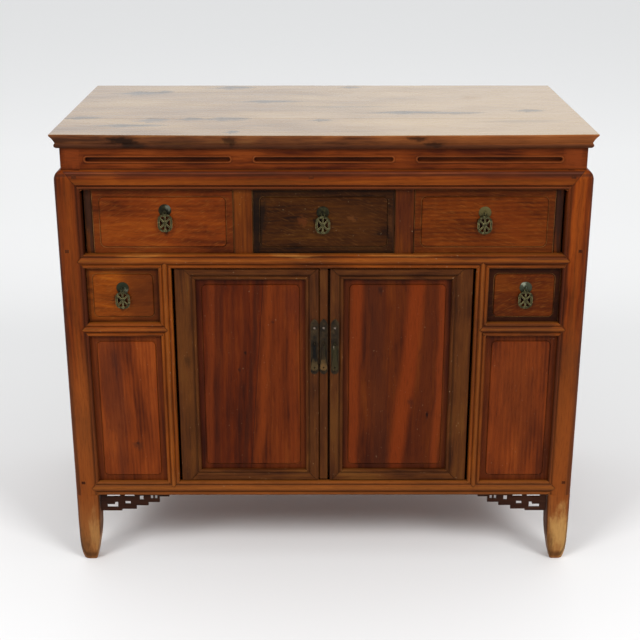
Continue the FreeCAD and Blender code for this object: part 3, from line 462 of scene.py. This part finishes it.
def boardMarks(bm, node, joints=0.0):  # what the wood reads: middle, half size, chance and depth of a board
    centreMark = bm.verts.layers.float_vector.new("boardCentre")
    halfMark = bm.verts.layers.float_vector.new("boardHalf")
    chanceMark = bm.verts.layers.float_vector.new("boardChance")
    grooveMark = bm.loops.layers.float.new("groove")
    rubbed = bm.faces.layers.float["rubbed"]
    groups = sorted(islands(bm), key=lambda group: [round(c, 5) for c in min(v.co.to_tuple() for v in group)])
    for number, group in enumerate(groups):
        low, high = boxOf(group)
        dice = random.Random(node + str(number))
        chance = Vector([dice.random() for _ in range(3)])
        size = high - low
        axis = max(range(3), key=lambda i: size[i])
        faces = set()
        for vert in group:
            vert[centreMark] = (low + high) / 2
            vert[halfMark] = size / 2
            vert[chanceMark] = chance
            faces.update(vert.link_faces)
        for face in faces:
            face.material_index = axis
            side = max(range(3), key=lambda i: abs(face.normal[i]))
            for loop in face.loops:
                place = loop.vert.co[side]
                depth = high[side] - place if face.normal[side] > 0 else place - low[side]
                under = 0.0
                if joints and side == 1:  # undersides of the beads get painted shade, with grime
                    tip = -grooveShadeMarks["tip"] - loop.vert.normal.z
                    under = min(max(tip, 0.0), grooveShadeMarks["spread"]) * grooveShadeMarks["under"]
                loop[grooveMark] = max(min(depth / mm, grooveShadeMarks["deepest"]), under)
            if joints and face[rubbed]:  # an arris across the grain is a joint, dark as a groove that deep
                longest = max(face.edges, key=lambda edge: edge.calc_length())
                along = (longest.verts[0].co - longest.verts[1].co).normalized()
                if abs(along[axis]) < grooveShadeMarks["along"]:
                    face[rubbed] = 0.0
                    for loop in face.loops:
                        loop[grooveMark] = joints


upperFaces = {"reach": 10, "upward": 0.5}  # mm under the crown, part of the normal


def polishedFaces(bm):  # upward faces, which sleeves and dusters keep bright, take the second materials
    crown = max(vert.co.z for vert in bm.verts) - upperFaces["reach"] * mm
    for face in bm.faces:
        if face.normal.z > upperFaces["upward"] and face.calc_center_median().z > crown:
            face.material_index += 3


def finishPiece(bm, name, node, body, slot, materials):
    mesh = bpy.data.meshes.new(name)
    bm.to_mesh(mesh)
    bm.free()
    for material in materials:
        mesh.materials.append(material)
    mesh.polygons.foreach_set("use_smooth", [True] * len(mesh.polygons))
    mesh.set_sharp_from_angle(angle=math.radians(easing["crease"]))
    piece = bpy.data.objects.new(name, mesh)
    bpy.context.scene.collection.objects.link(piece)
    even = piece.modifiers.new("evenShading", "WEIGHTED_NORMAL")  # flat boards stay flat beside eased edges
    even.keep_sharp = True
    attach(piece, body)
    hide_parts(node)
    return piece


legs = {
    "nodes": ["leg_front_left", "leg_front_right", "leg_rear_left", "leg_rear_right"],
    "slot": "frame_wood", "ease": 0.9, "joints": 0.5,
    "look": dict(
        elm, name="oiledElmLegs", dark="#461904", base="#642806", mid="#702F08", light="#823B0C",
        # the dark edges and dark bands are painted shade along the rounded sides of each leg, the pale band a
        # painted highlight down its middle
        streak=7.0, streakShare=1.1, cloudShare=1.07, boardShare=0.05, edgeAxes="X", edgeReach=7,
        edgeShare=0.4,
        bands=[(2, 7, 0.0, "#80400F", 0.25), (-19, 5, 0.0, "#451C07", 0.4), (17, 4, 0.0, "#451C07", 0.35)],
        fades=[("Z", 640, 330, "#7C4219", 0.6), ("Z", 190, 20, "#8C5C30", 0.6)],
        spots=[
            ((530, 0, 480), (40, 0, 70), "#4A240E", 0.4), ((-530, 0, 330), (30, 0, 60), "#4E2810", 0.25),
            ((-524, 0, 740), (80, 0, 200), "#602B0B", 0.6), ((524, 0, 300), (70, 0, 260), "#783A10", 0.5),
            ((538, 0, 60), (36, 0, 80), "#B48A50", 0.75), ((-540, 0, 30), (24, 0, 50), "#5A3A1E", 0.6),
            ((-512, 0, 60), (16, 0, 70), "#A87C48", 0.5), ((508, 0, 30), (14, 0, 60), "#5E4424", 0.6),
            # the near-black strips at x ±495 are painted shade on the inner side of each leg
            ((-495, 0, 480), (15, 0, 800), "#3C190C", 0.75), ((495, 0, 480), (15, 0, 800), "#3C190C", 0.75),
        ]),
}
upperRails = {
    "nodes": ["upper_rail_front", "upper_rails_side"], "slot": "frame_wood", "ease": 0.8,
    "shortest": 1.2, "joints": 3.6,
    "polish": {"shine": 0.2, "rough": 0.36},
    "look": dict(
        elm, name="oiledElmUpperRails", base="#552105", mid="#602707", light="#74350A", crest="#8A4E18",
        streakShare=0.6, cloud=50, cloudShare=1.07, grooveShare=0.55, crestTo=2.0, crestHighlightShare=0.2,
        rubHighlightShare=0.6,
        # the bottom bead is darker: painted shade under the rail, with some grime
        fades=[("Z", 871, 864, "#5A2C14", 0.75)]),
}
rails = {
    "nodes": [
        "middle_rail_front", "lower_rail_front", "column_rails", "divider_left", "divider_right",
        "middle_rails_side", "lower_rails_side",
    ],
    "slot": "frame_wood", "ease": 0.8, "joints": 3.6,
    "look": dict(
        elm, base="#642E09", mid="#71350B", light="#854410", cloudShare=0.86, grooveShare=0.55,
        crestHighlightShare=0.3, chips=0.5, rubHighlightShare=0.6,
        fades=[("Z", 240, 180, "#74421C", 0.5)],
        spots=[
            ((332, 0, 450), (40, 0, 320), "#4E230B", 0.65), ((422, 0, 556), (120, 0, 40), "#46200B", 0.85),
            ((-422, 0, 556), (90, 0, 24), "#7C3A0E", 0.5), ((-60, 0, 719), (60, 0, 5), "#A0682E", 0.6),
            ((170, 0, 719), (90, 0, 4), "#98602A", 0.5), ((-380, 0, 719), (60, 0, 4), "#A0682E", 0.5),
        ]),
}
muntins = {
    "nodes": ["drawer_muntins"], "slot": "frame_wood", "ease": 0.7,
    "look": dict(
        elm, name="oiledElmMuntins", dark="#361403", base="#4E2206", mid="#582706", light="#66320A",
        cloudShare=1.14, edgeAxes="X", edgeReach=3, chips=0.6,
        spots=[
            # the near-black patches at x ±485 are painted shadow on the recessed strips beside the legs
            ((166, 0, 793), (30, 0, 90), "#42190A", 0.5), ((-485, 0, 793), (18, 0, 120), "#2A1A12", 0.85),
            ((485, 0, 793), (18, 0, 120), "#2A1710", 0.85),
        ]),
}
waist = {
    "nodes": ["waist_front", "waist_sides"], "slot": "frame_wood", "ease": 0.5,
    "look": dict(
        elm, name="oiledElmWaist", dark="#3C1404", base="#552206", mid="#602808", light="#6F320D",
        # painted shade in the slots, under the overhang of the top and along the bottom edge; a painted
        # highlight on the slot rims
        crest="#7E4420", streakShare=0.9, cloud=40, cloudShare=1.36, grooveFrom=3.0, grooveFull=6.5,
        grooveEnd=11.0, grooveShare=0.45, crestTo=1.3, crestHighlightShare=0.4, edgeAxes="Z", edgeReach=4,
        edgeShare=0.65,
        spots=[((-510, 0, 922), (26, 0, 60), "#6E300F", 0.8), ((510, 0, 922), (26, 0, 60), "#6E300F", 0.8)]),
}
# Waxed elm above: pale and glossy, with ink-dark water stains. Below it the moulded edge in oiled elm
topBoards = {
    "nodes": ["top_boards"], "slot": "top_wood", "ease": 0.7,
    "sag": 2.4, "sagReach": 90, "uneven": 0.35, "lip": 12, "lipWear": 0.5, "step": 24,  # mm
    "polish": {
        "name": "waxedElmTop", "dark": "#644726", "base": "#7E5F38", "mid": "#896A40", "light": "#9A7D4F",
        "streak": 9.0, "stretch": 9, "streakShare": 0.22, "cloud": 90, "cloudShare": 0.9, "poreShare": 0.06,
        "sway": 22, "grooveShare": 0.1, "rubHighlightShare": 0.1, "rough": 0.26, "shine": 0.5,
        "fades": [("X", -350, 450, "#A68A62", 0.7)],
        "spots": [
            ((-429, 190, 0), (64, 30, 0), "#1E1A1C", 0.85), ((-376, 204, 0), (26, 26, 0), "#1A1618", 0.8),
            ((-214, 266, 0), (60, 28, 0), "#1A1618", 0.85), ((-122, 76, 0), (84, 20, 0), "#1E1A1C", 0.85),
            ((-405, -205, 0), (100, 17, 0), "#1E1814", 0.85),
            ((-360, -148, 0), (42, 28, 0), "#241E1C", 0.7), ((-280, -136, 0), (32, 18, 0), "#1A1614", 0.75),
            ((-205, -135, 0), (62, 24, 0), "#241E1C", 0.75), ((-515, -125, 0), (50, 16, 0), "#1E1814", 0.8),
            ((190, -60, 0), (118, 20, 0), "#201C1E", 0.85), ((300, -66, 0), (60, 16, 0), "#241E1C", 0.7),
            ((452, -40, 0), (42, 20, 0), "#241E1C", 0.75), ((341, 120, 0), (36, 30, 0), "#8A6420", 0.6),
            ((66, 276, 0), (30, 20, 0), "#1E1A1C", 0.75), ((-186, -266, 0), (18, 18, 0), "#1E1814", 0.8),
            ((-8, -148, 0), (28, 16, 0), "#241E1C", 0.75), ((40, 10, 0), (150, 14, 0), "#5A4A34", 0.5),
            ((420, -160, 0), (120, 18, 0), "#6A5230", 0.5),
        ],
    },
    "look": dict(
        elm, name="oiledElmCornice", dark="#452615", base="#633920", mid="#704123", light="#81522D",
        rubbed="#85562E", streak=5.0, stretch=10, streakShare=0.68, cloud=26, cloudShare=0.9,
        boardShare=0.0, grooveFrom=3.0, grooveFull=9.0, grooveEnd=11.0, grooveShare=0.3, rubHighlightShare=0.3,
        # the Z fade paints the bottom of the edge dark, as shade under its bead
        fades=[("X", -200, 450, "#985426", 0.6), ("Z", 957, 948, "#381A0E", 0.82)],
        spots=[
            ((-406, -300, 960), (38, 0, 16), "#120B07", 0.85),
            ((-380, -300, 952), (30, 0, 9), "#1A100A", 0.7),
            ((-189, -300, 958), (18, 0, 14), "#1A0F08", 0.7),
            ((190, -300, 966), (26, 0, 8), "#140C08", 0.75),
            ((225, -300, 952), (26, 0, 8), "#140C08", 0.75),
            ((-300, -300, 955), (60, 0, 12), "#2A180D", 0.35),
        ]),
}
doorFrames = {
    "nodes": ["door_left_frame", "door_right_frame", "centre_post"],
    "slot": "door_wood", "ease": 0.8, "joints": 3.6,
    "look": dict(
        elm, name="oiledElmDoorFrames", dark="#311607", base="#47240C", mid="#502A0E", light="#5D3613",
        rubbed="#6E4A24", cloud=40, cloudShare=1.14, grooveFrom=1.6, grooveFull=3.4, chips=0.5,
        spots=[
            ((-289, 0, 481), (10, 0, 17), "#170D07", 0.85), ((4, 0, 450), (60, 0, 500), "#3A1D0B", 0.3),
            ((-292, 0, 400), (26, 0, 330), "#57300F", 0.5), ((296, 0, 420), (26, 0, 330), "#522B0D", 0.4),
        ]),
}
# Oiled camphor: redder than elm, with broad soft streaks and a dark border of grime and painted shade
camphor = dict(
    elm, grimeShade="#1E0A05", rubbed="#8A4C22", streak=8.0, streakShare=0.75, cloudShare=1.0, grooveFrom=1.6,
    grooveFull=2.8, grooveShare=0.35, edgeAxes="XZ", edgeReach=7, hidden=6, edgeShare=0.4, chips=0.2,
    rubHighlightShare=0.7)
doorPanelLeft = {
    "nodes": ["door_left_panel"], "slot": "panel_wood", "ease": 0.6,
    "look": dict(
        camphor, name="oiledCamphorLeft", dark="#351103", base="#4E1D05", mid="#582206", light="#662C0A",
        boards=[(11, 0.075, "#E6D6C6", 1.0)],
        bands=[
            (-91, 8, 0.03, "#6A2C0C", 0.5), (-74, 9, 0.03, "#2C1208", 0.35), (-48, 7, 0.05, "#30140A", 0.2),
            (-24, 6, 0.06, "#30140A", 0.2), (-2, 6, 0.075, "#2A1208", 0.4), (27, 9, 0.07, "#74300A", 0.5),
            (58, 12, 0.0, "#622607", 0.45), (88, 8, 0.0, "#662808", 0.5),
        ],
        spots=[
            ((-170, 0, 500), (3.5, 0, 4.5), "#160B06", 0.9), ((-182, 0, 462), (4, 0, 6), "#22110A", 0.7),
            ((-108, 0, 570), (5, 0, 4), "#22110A", 0.5), ((-60, 0, 600), (30, 0, 60), "#4A1C0B", 0.5),
        ]),
}
doorPanelRight = {
    "nodes": ["door_right_panel"], "slot": "panel_wood", "ease": 0.6,
    "look": dict(
        camphor, name="oiledCamphorRight", dark="#351103", base="#4A1C05", mid="#522105", light="#602A08",
        bands=[
            (24, 17, 0.095, "#6E2A07", 0.8), (62, 14, 0.08, "#4A1C06", 0.6),
            (-90, 12, 0.02, "#6C2A08", 0.75), (-40, 20, -0.05, "#3E1A0A", 0.6),
            (93, 8, 0.01, "#6E2C0B", 0.7),
        ],
        spots=[
            ((226, 0, 351), (3, 0, 9), "#0C0604", 0.95), ((190, 0, 380), (8, 0, 12), "#3A180B", 0.6),
            ((120, 0, 640), (6, 0, 14), "#241009", 0.7),
        ]),
}
columnPanels = {
    "nodes": ["column_panels"], "slot": "panel_wood", "ease": 0.6,
    "look": dict(
        camphor, name="oiledCamphorColumns", dark="#461A06", base="#64290A", mid="#6F2F0C", light="#813B11",
        grimeShade="#170904", streak=9.0, streakShare=0.55, cloudShare=0.93, grooveShare=0.4, edgeReach=10,
        chips=0.25,
        spots=[
            ((-450, 0, 380), (36, 0, 300), "#401C10", 0.5), ((424, 0, 380), (60, 0, 200), "#54240C", 0.5),
            ((-446, 0, 480), (9, 0, 50), "#2A1510", 0.4), ((-408, 0, 286), (4, 0, 5), "#120805", 0.9),
            ((-408, 0, 280), (14, 0, 14), "#42200F", 0.6),
        ]),
}
# Oiled elm of the drawer fronts: the grain sways widely and light flecks cross it; the thin dark border is
# painted shade of the gaps
drawerElm = dict(
    elm, rubbed="#A2703E", streakShare=0.65, cloudShare=1.0, sway=34, grooveFrom=1.6, grooveFull=3.2,
    grooveShare=0.35, edgeAxes="XZ", edgeReach=3, hidden=0.5, edgeShare=0.55, rubHighlightShare=0.9)
drawerLeft = {
    "nodes": ["drawer_left_front"], "slot": "drawer_wood", "ease": 0.6,
    "look": dict(
        drawerElm, name="oiledElmDrawerLeft", dark="#411602", base="#5D2505", mid="#692B06",
        light="#783709", streak=10.0, stretch=7, flecks=0.3, fleckTurn=24,
        # the near-black patch behind the pull is a painted shadow, with some grime
        spots=[((-326.75, 0, 787), (17, 0, 24), "#120703", 0.9)]),
}
# Stained elm: one drawer much darker than its neighbours
drawerCentre = {
    "nodes": ["drawer_centre_front"], "slot": "dark_drawer_wood", "ease": 0.6,
    "look": dict(
        drawerElm, name="stainedElmDrawerCentre", dark="#1A0902", base="#301502", mid="#371A03",
        light="#462606", grimeShade="#080403", rubbed="#7A5630", crest="#5E3A18", streak=8.0, stretch=8,
        streakShare=0.8, cloudShare=1.07, sway=30, grooveShare=0.5, edgeReach=9, hidden=2, edgeShare=0.65,
        flecks=0.35, fleckTurn=-24, chips=0.3, rubHighlightShare=0.8,
        spots=[
            ((60, 0, 800), (12, 0, 8), "#5E3618", 0.7), ((66, 0, 801), (5, 0, 4), "#1C0E07", 0.8),
            ((-135, 0, 793), (24, 0, 100), "#0E0704", 0.8), ((138, 0, 780), (12, 0, 50), "#5A3216", 0.5),
            ((-40, 0, 790), (14, 0, 16), "#5A2C10", 0.5), ((70, 0, 793), (60, 0, 60), "#462408", 0.4),
            # the near-black patch at x -2 is a painted shadow behind the pull, with some grime
            ((-2, 0, 783), (17, 0, 24), "#090402", 0.9),
        ]),
}
drawerRight = {
    "nodes": ["drawer_right_front"], "slot": "drawer_wood", "ease": 0.6,
    "look": dict(
        drawerElm, name="oiledElmDrawerRight", dark="#391301", base="#512002", mid="#5C2603",
        light="#692E05", streak=9.0, stretch=8, ringShare=0.15, flecks=0.26, fleckTurn=-12,
        spots=[
            # the near-black patch at x 331.75 is a painted shadow behind the pull, with some grime
            ((390, 0, 793), (60, 0, 50), "#652805", 0.5), ((331.75, 0, 783), (17, 0, 24), "#100602", 0.9),
        ]),
}
drawerSmallLeft = {
    "nodes": ["drawer_small_left_front"], "slot": "drawer_wood", "ease": 0.6,
    "look": dict(
        drawerElm, name="oiledElmSmallLeft", dark="#4B1E03", base="#6B3006", mid="#7A3807", light="#8E490D",
        streak=10.0, stretch=5, hidden=4.5, edgeShare=0.5, flecks=0.4, fleckTurn=34,
        fades=[("X", -435, -395, "#4C2006", 0.7)],
        # the near-black patch behind the pull is a painted shadow, with some grime
        spots=[((-422.5, 0, 620), (17, 0, 24), "#0E0602", 0.9)]),
}
drawerSmallRight = {
    "nodes": ["drawer_small_right_front"], "slot": "dark_drawer_wood", "ease": 0.6,
    "look": dict(
        drawerElm, name="oiledElmSmallRight", dark="#2F0E01", base="#461A02", mid="#4F1E02",
        light="#5D2904", grimeShade="#0A0504", streak=9.0, stretch=7, grooveFrom=0.9, grooveFull=2.4,
        grooveShare=0.75, edgeReach=6, hidden=5, edgeShare=0.6, flecks=0.28, fleckTurn=20,
        # the near-black patch behind the pull is a painted shadow, with some grime
        spots=[((424.5, 0, 621), (17, 0, 24), "#0C0401", 0.9)]),
}
# Oiled camphor of the sides: finer streaks than in front
sidePanels = {
    "nodes": ["side_panels"], "slot": "panel_wood", "ease": 0.6,
    "look": dict(
        elm, name="oiledCamphorSides", dark="#461A08", base="#602A0E", mid="#6C3010", light="#7E3D16",
        streak=6.0, edgeAxes="YZ", edgeReach=12, hidden=6,
        spots=[((0, -90, 430), (0, 60, 260), "#4A2412", 0.5), ((0, 140, 380), (0, 26, 240), "#4E2814", 0.5)]),
}
# Oiled elm gone almost black where no cloth reaches
brackets = {
    "nodes": ["corner_brackets"], "slot": "frame_wood", "ease": 0.5,
    "look": dict(
        elm, name="oiledElmBrackets", dark="#1A0906", base="#28140B", mid="#2E170D", light="#361E13",
        rubbed="#5E3A22"),
}
pegs = {
    "nodes": ["tenon_pegs"], "slot": "peg_wood", "ease": 0.4,
    "look": dict(
        elm, name="oiledElmPegs", dark="#331204", base="#431C07", mid="#4C2108", light="#5A2A0D",
        rubbed="#54301A", edgeAxes="XZ", edgeReach=1.0),
}
# Raw elm of the back: dry, grey-brown and dull, never polished
backBoards = {
    "nodes": ["rear_frame", "back_panels", "waist_rear"], "slot": "inner_wood", "ease": 0.8,
    "look": dict(
        elm, name="rawElmBack", dark="#38220F", base="#583A1E", mid="#684828", light="#7E5C36",
        rubbed="#8A683E", streak=3.5, stretch=60, streakShare=0.9, cloud=90, cloudShare=0.57, edgeAxes="XZ",
        edgeReach=14, hidden=4, edgeShare=0.5, rough=0.62, shine=0.15,
        boards=[(-70, 0.0, "#D8CCC0", 1.0), (55, 0.004, "#EADFD2", 1.0)]),
}
drawers = ["drawer_left", "drawer_centre", "drawer_right", "drawer_small_left", "drawer_small_right"]
locked = ["door_left", "centre_post", "door_right"]
# Raw elm of the inside: pale and dusty, dark only in the corners with grime and painted shade
insides = {
    "nodes": [name + "_box" for name in drawers] + ["drawer_partitions", "drawer_runners", "top_battens"],
    "slot": "inner_wood", "ease": 0.8,
    "look": dict(
        elm, name="rawElmInside", dark="#5A3A1E", base="#86613A", mid="#987248", light="#AE8A5C",
        grimeShade="#3A2412", rubbed="#B8966A", streak=5.0, streakShare=0.9, edgeAxes="Z", edgeReach=10,
        edgeShare=0.35, rough=0.66, shine=0.15),
}
# The same elm, stained red-brown by what stood on it
cupboardFloor = {
    "nodes": ["cupboard_floor"], "slot": "inner_wood", "ease": 0.8,
    "look": dict(
        insides["look"], name="redElmFloor", dark="#5A2A10", base="#7E3C16", mid="#8A451A", light="#985222",
        rubbed="#8A5228"),
}

bodyOf = {node: body for body, nodes in frame["record"]["behaviour"]["bodies"].items() for node in nodes}


def sagTop(bm, piece, node):  # the old top hangs a little between the ends, and its lip is worn uneven
    low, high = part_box(node)
    for number in range(1, int((high.x - low.x) / (piece["step"] * mm))):
        x = low.x + number * piece["step"] * mm
        bmesh.ops.bisect_plane(bm, geom=bm.verts[:] + bm.edges[:] + bm.faces[:], plane_co=(x, 0, 0),
                               plane_no=(1, 0, 0), dist=0.01 * mm)
    for vert in bm.verts:
        across = vert.co.x / high.x
        wave = noise.noise(Vector((vert.co.x * 9, vert.co.y * 4, 3.1)))
        front = max(0.0, 1.0 - (vert.co.y - low.y) / (piece["sagReach"] * mm))
        vert.co.z -= (piece["sag"] * (1 - across ** 2) * front + piece["uneven"] * (1 + wave)) * mm
        if vert.co.y < low.y + piece["lip"] * mm:
            wear = 1 + noise.noise(Vector((vert.co.x * 14, 7.7, vert.co.z * 40)))
            vert.co.y += piece["lipWear"] * wear * mm
    bm.normal_update()


for piece in (legs, upperRails, rails, muntins, waist, topBoards, doorFrames, doorPanelLeft, doorPanelRight,
              columnPanels, drawerLeft, drawerCentre, drawerRight, drawerSmallLeft, drawerSmallRight,
              sidePanels, brackets, pegs, backBoards, insides, cupboardFloor):
    look = piece["look"]
    for node in piece["nodes"]:
        bm = easedCopy(node, piece["ease"], piece.get("shortest", 0.0))
        if "sag" in piece:
            sagTop(bm, piece, node)
        boardMarks(bm, node, piece.get("joints", 0.0))
        woods = [agedWood(look, axis) for axis in range(3)]
        if "polish" in piece:
            polishedFaces(bm)
            polishLook = dict(look, **dict({"name": look["name"] + "Polished"}, **piece["polish"]))
            woods += [agedWood(polishLook, axis) for axis in range(3)]
        finishPiece(bm, "eased_" + node, node, bodyOf[node], piece["slot"], woods)
print("wood eased")

drawerPlates = {
    "nodes": [name + "_plate" for name in drawers], "ease": 0.3,
    "look": dict(
        bronze, dark="#0B0A05", base="#1A180B", light="#35311A", rubbed="#625C38", metal=0.5,
        spots=[
            # the small pale dots at (419, 656), (-417, 640) and (-319, 821) are painted highlights
            ((331, 0, 815), (40, 0, 40), "#544B2A", 0.85), ((424, 0, 652), (40, 0, 40), "#3A3E30", 0.8),
            ((419, 0, 656), (7, 0, 6), "#8A8E7C", 0.8), ((-422, 0, 652), (40, 0, 40), "#23281A", 0.7),
            ((-417, 0, 640), (8, 0, 8), "#6A6A58", 0.8), ((-319, 0, 821), (8, 0, 8), "#5A5C50", 0.8),
        ]),
}
drawerPendants = {
    "nodes": [name + "_pendant" for name in drawers], "ease": 0.5,
    "look": dict(
        bronze, name="patinatedBronzePendants", dark="#1C1A0C", base="#3A3620", light="#666040",
        rubbed="#A89C6A", cloud=5, metal=0.5),
}
lockPlates = {
    "nodes": [name + "_plate" for name in locked], "ease": 0.3,
    "look": dict(
        bronze, name="patinatedBronzeLocks", dark="#140E07", base="#251B0E", light="#382A17",
        rubbed="#4E3F28", metal=0.3,
        # pale nail heads at 558 mm, partly a painted glint
        spots=[((x, 0, 558), (3, 0, 3), "#6E6258", 0.95) for x in (-19.5, 0, 24)]
        + [((24, 0, 500), (9, 0, 26), "#2C2C16", 0.7)]),
}
# Rubbed brass: the tongues that fingers touch, brown with a dull gold face
lockPendants = {
    "nodes": [name + "_pendant" for name in locked], "ease": 0.4,
    "look": dict(
        bronze, name="rubbedBrassTongues", dark="#231809", base="#382A15", light="#523D21",
        rubbed="#7A5E3A", cloud=8, metal=0.4,
        spots=[
            # near-black at the top of the left tongue: dark metal with a painted shadow under its ring
            ((-22, 0, 512), (26, 0, 24), "#080706", 1.0), ((-22, 0, 497), (26, 0, 18), "#080706", 1.0),
            ((0, 0, 514), (20, 0, 30), "#1E160C", 0.95), ((24, 0, 490), (26, 0, 70), "#2A2614", 0.85),
            # the pale dot at (18, 516) is a painted glint
            ((18, 0, 516), (5, 0, 5), "#A09484", 1.0), ((0, 0, 468), (16, 0, 18), "#664A28", 0.6),
            ((-22, 0, 470), (16, 0, 18), "#483A22", 0.7),
        ]),
}
shortestRim = 0.8  # mm; shorter arrises of the castings stay sharp
for piece in (drawerPlates, drawerPendants, lockPlates, lockPendants):
    for node in piece["nodes"]:
        bm = easedCopy(node, piece["ease"], shortestRim, False)
        boardMarks(bm, node)
        for face in bm.faces:
            face.material_index = 0
        finishPiece(bm, "eased_" + node, node, bodyOf[node], "bronze", [patinatedBronze(piece["look"])])
print("bronze eased")

# Matt white paper: an even pale sweep under and behind the cabinet, with a faint tooth
floorLook = {
    "reach": 30.0, "turn": (0.3, 4.0),  # metres, and how far behind the middle it turns pale
    "near": "#E6E6E6", "far": "#FAFAFA", "tooth": 4, "relief": 0.2, "rough": 0.8, "shine": 0.2,
}
bm = bmesh.new()
bmesh.ops.create_grid(bm, x_segments=1, y_segments=1, size=floorLook["reach"])
floorMesh = bpy.data.meshes.new("paperFloor")
bm.to_mesh(floorMesh)
bm.free()
floor = bpy.data.objects.new("paperFloor", floorMesh)
bpy.context.scene.collection.objects.link(floor)
paper = newMaterial("mattPaper")
tree = paper.node_tree
spot = addNode(tree, "TexCoord")
tooth = addNode(tree, "TexNoise", {"Scale": 1 / (floorLook["tooth"] * mm)},
                {"Vector": spot.outputs["Object"]})
bump = addNode(tree, "Bump", {"Strength": 0.05, "Distance": floorLook["relief"] * mm},
               {"Height": tooth.outputs[0]})
place = addNode(tree, "SeparateXYZ", {}, {0: spot.outputs["Object"]})
depth = addNode(tree, "MapRange", {"From Min": floorLook["turn"][0], "From Max": floorLook["turn"][1]},
                {"Value": place.outputs[1]})
tone = addNode(tree, "Mix", {"data_type": "RGBA", 6: linearColour(floorLook["near"]),
                             7: linearColour(floorLook["far"])}, {0: depth.outputs[0]})
shader = addNode(tree, "BsdfPrincipled",
                 {"Roughness": floorLook["rough"], "Specular IOR Level": floorLook["shine"]},
                 {"Base Color": tone.outputs[2], "Normal": bump.outputs[0]})
addNode(tree, "OutputMaterial", {}, {"Surface": shader.outputs[0]})
floorMesh.materials.append(paper)

# two softboxes high at the front sides, and a room that is bright behind and dim in front
lamps = {
    "leftSoftbox": {"at": (-3.2, -3.8, 4.0), "power": 174, "size": 2.0},
    "rightSoftbox": {"at": (3.2, -3.8, 4.0), "power": 190, "size": 2.0},
}
lampAim = Vector((0, -0.2, 0.4))
for name, look in lamps.items():
    lamp = bpy.data.lights.new(name, "AREA")
    lamp.shape = "SQUARE"
    lamp.size = look["size"]
    lamp.energy = look["power"]
    holder = bpy.data.objects.new(name, lamp)
    holder.location = look["at"]
    holder.rotation_euler = (lampAim - holder.location).to_track_quat("-Z", "Y").to_euler()
    bpy.context.scene.collection.objects.link(holder)

roomLook = {
    "back": 1.46, "low": 0.15, "front": 0.1, "above": 0.8, "walls": 0.85, "colour": "#F8F9FA",
    "lowBand": (0.04, 0.14), "frontBand": (-0.5, 0.5), "highBand": (0.35, 0.75),  # parts of the gaze
}
room = bpy.data.worlds.new("studioRoom")
bpy.context.scene.world = room
room.use_nodes = True
tree = room.node_tree
tree.nodes.clear()
gaze = addNode(tree, "TexCoord")
gazeParts = addNode(tree, "SeparateXYZ", {}, {0: gaze.outputs["Generated"]})
low = addNode(tree, "MapRange", {"From Min": roomLook["lowBand"][0], "From Max": roomLook["lowBand"][1],
                                 "To Min": roomLook["low"], "To Max": roomLook["back"]},
              {"Value": gazeParts.outputs[2]})
fade = addNode(tree, "MapRange", {"interpolation_type": "SMOOTHSTEP", "From Min": roomLook["frontBand"][0],
                                  "From Max": roomLook["frontBand"][1], "To Min": roomLook["front"]},
               {"Value": gazeParts.outputs[1], "To Max": low.outputs[0]})
high = addNode(tree, "MapRange", {"interpolation_type": "SMOOTHSTEP", "From Min": roomLook["highBand"][0],
                                  "From Max": roomLook["highBand"][1]}, {"Value": gazeParts.outputs[2]})
level = addNode(tree, "Mix", {"data_type": "FLOAT", 3: roomLook["above"]},
                {0: high.outputs[0], 2: fade.outputs[0]})
ray = addNode(tree, "LightPath")  # what is seen or mirrored of the room is never darker than its pale walls
seen = addNode(tree, "Math", {"operation": "MAXIMUM"},
               {0: ray.outputs["Is Camera Ray"], 1: ray.outputs["Is Glossy Ray"]})
seen = addNode(tree, "Math", {"operation": "MAXIMUM"},
               {0: seen.outputs[0], 1: ray.outputs["Is Transmission Ray"]})
walls = addNode(tree, "Math", {"operation": "MULTIPLY", 1: roomLook["walls"]}, {0: seen.outputs[0]})
level = addNode(tree, "Math", {"operation": "MAXIMUM"}, {0: level.outputs[0], 1: walls.outputs[0]})
glow = addNode(tree, "Background", {"Color": linearColour(roomLook["colour"])},
               {"Strength": level.outputs[0]})
addNode(tree, "OutputWorld", {}, {"Surface": glow.outputs[0]})

# camera: the photograph's own angle
cameraLook = {
    "at": (-0.0115, -2.7829, 1.4771), "down": 19.873, "turn": -0.085,
    "focal": 1251, "width": 640, "sensor": 36,  # pixels, pixels, mm
}
camera = bpy.data.cameras.new("photoCamera")
camera.sensor_width = cameraLook["sensor"]
camera.lens = cameraLook["focal"] / cameraLook["width"] * cameraLook["sensor"]
viewer = bpy.data.objects.new("photoCamera", camera)
viewer.location = cameraLook["at"]
viewer.rotation_euler = (math.radians(90 - cameraLook["down"]), 0, math.radians(cameraLook["turn"]))
bpy.context.scene.collection.objects.link(viewer)
bpy.context.scene.camera = viewer
bpy.context.scene.view_settings.view_transform = "Standard"
print("lights and camera set")
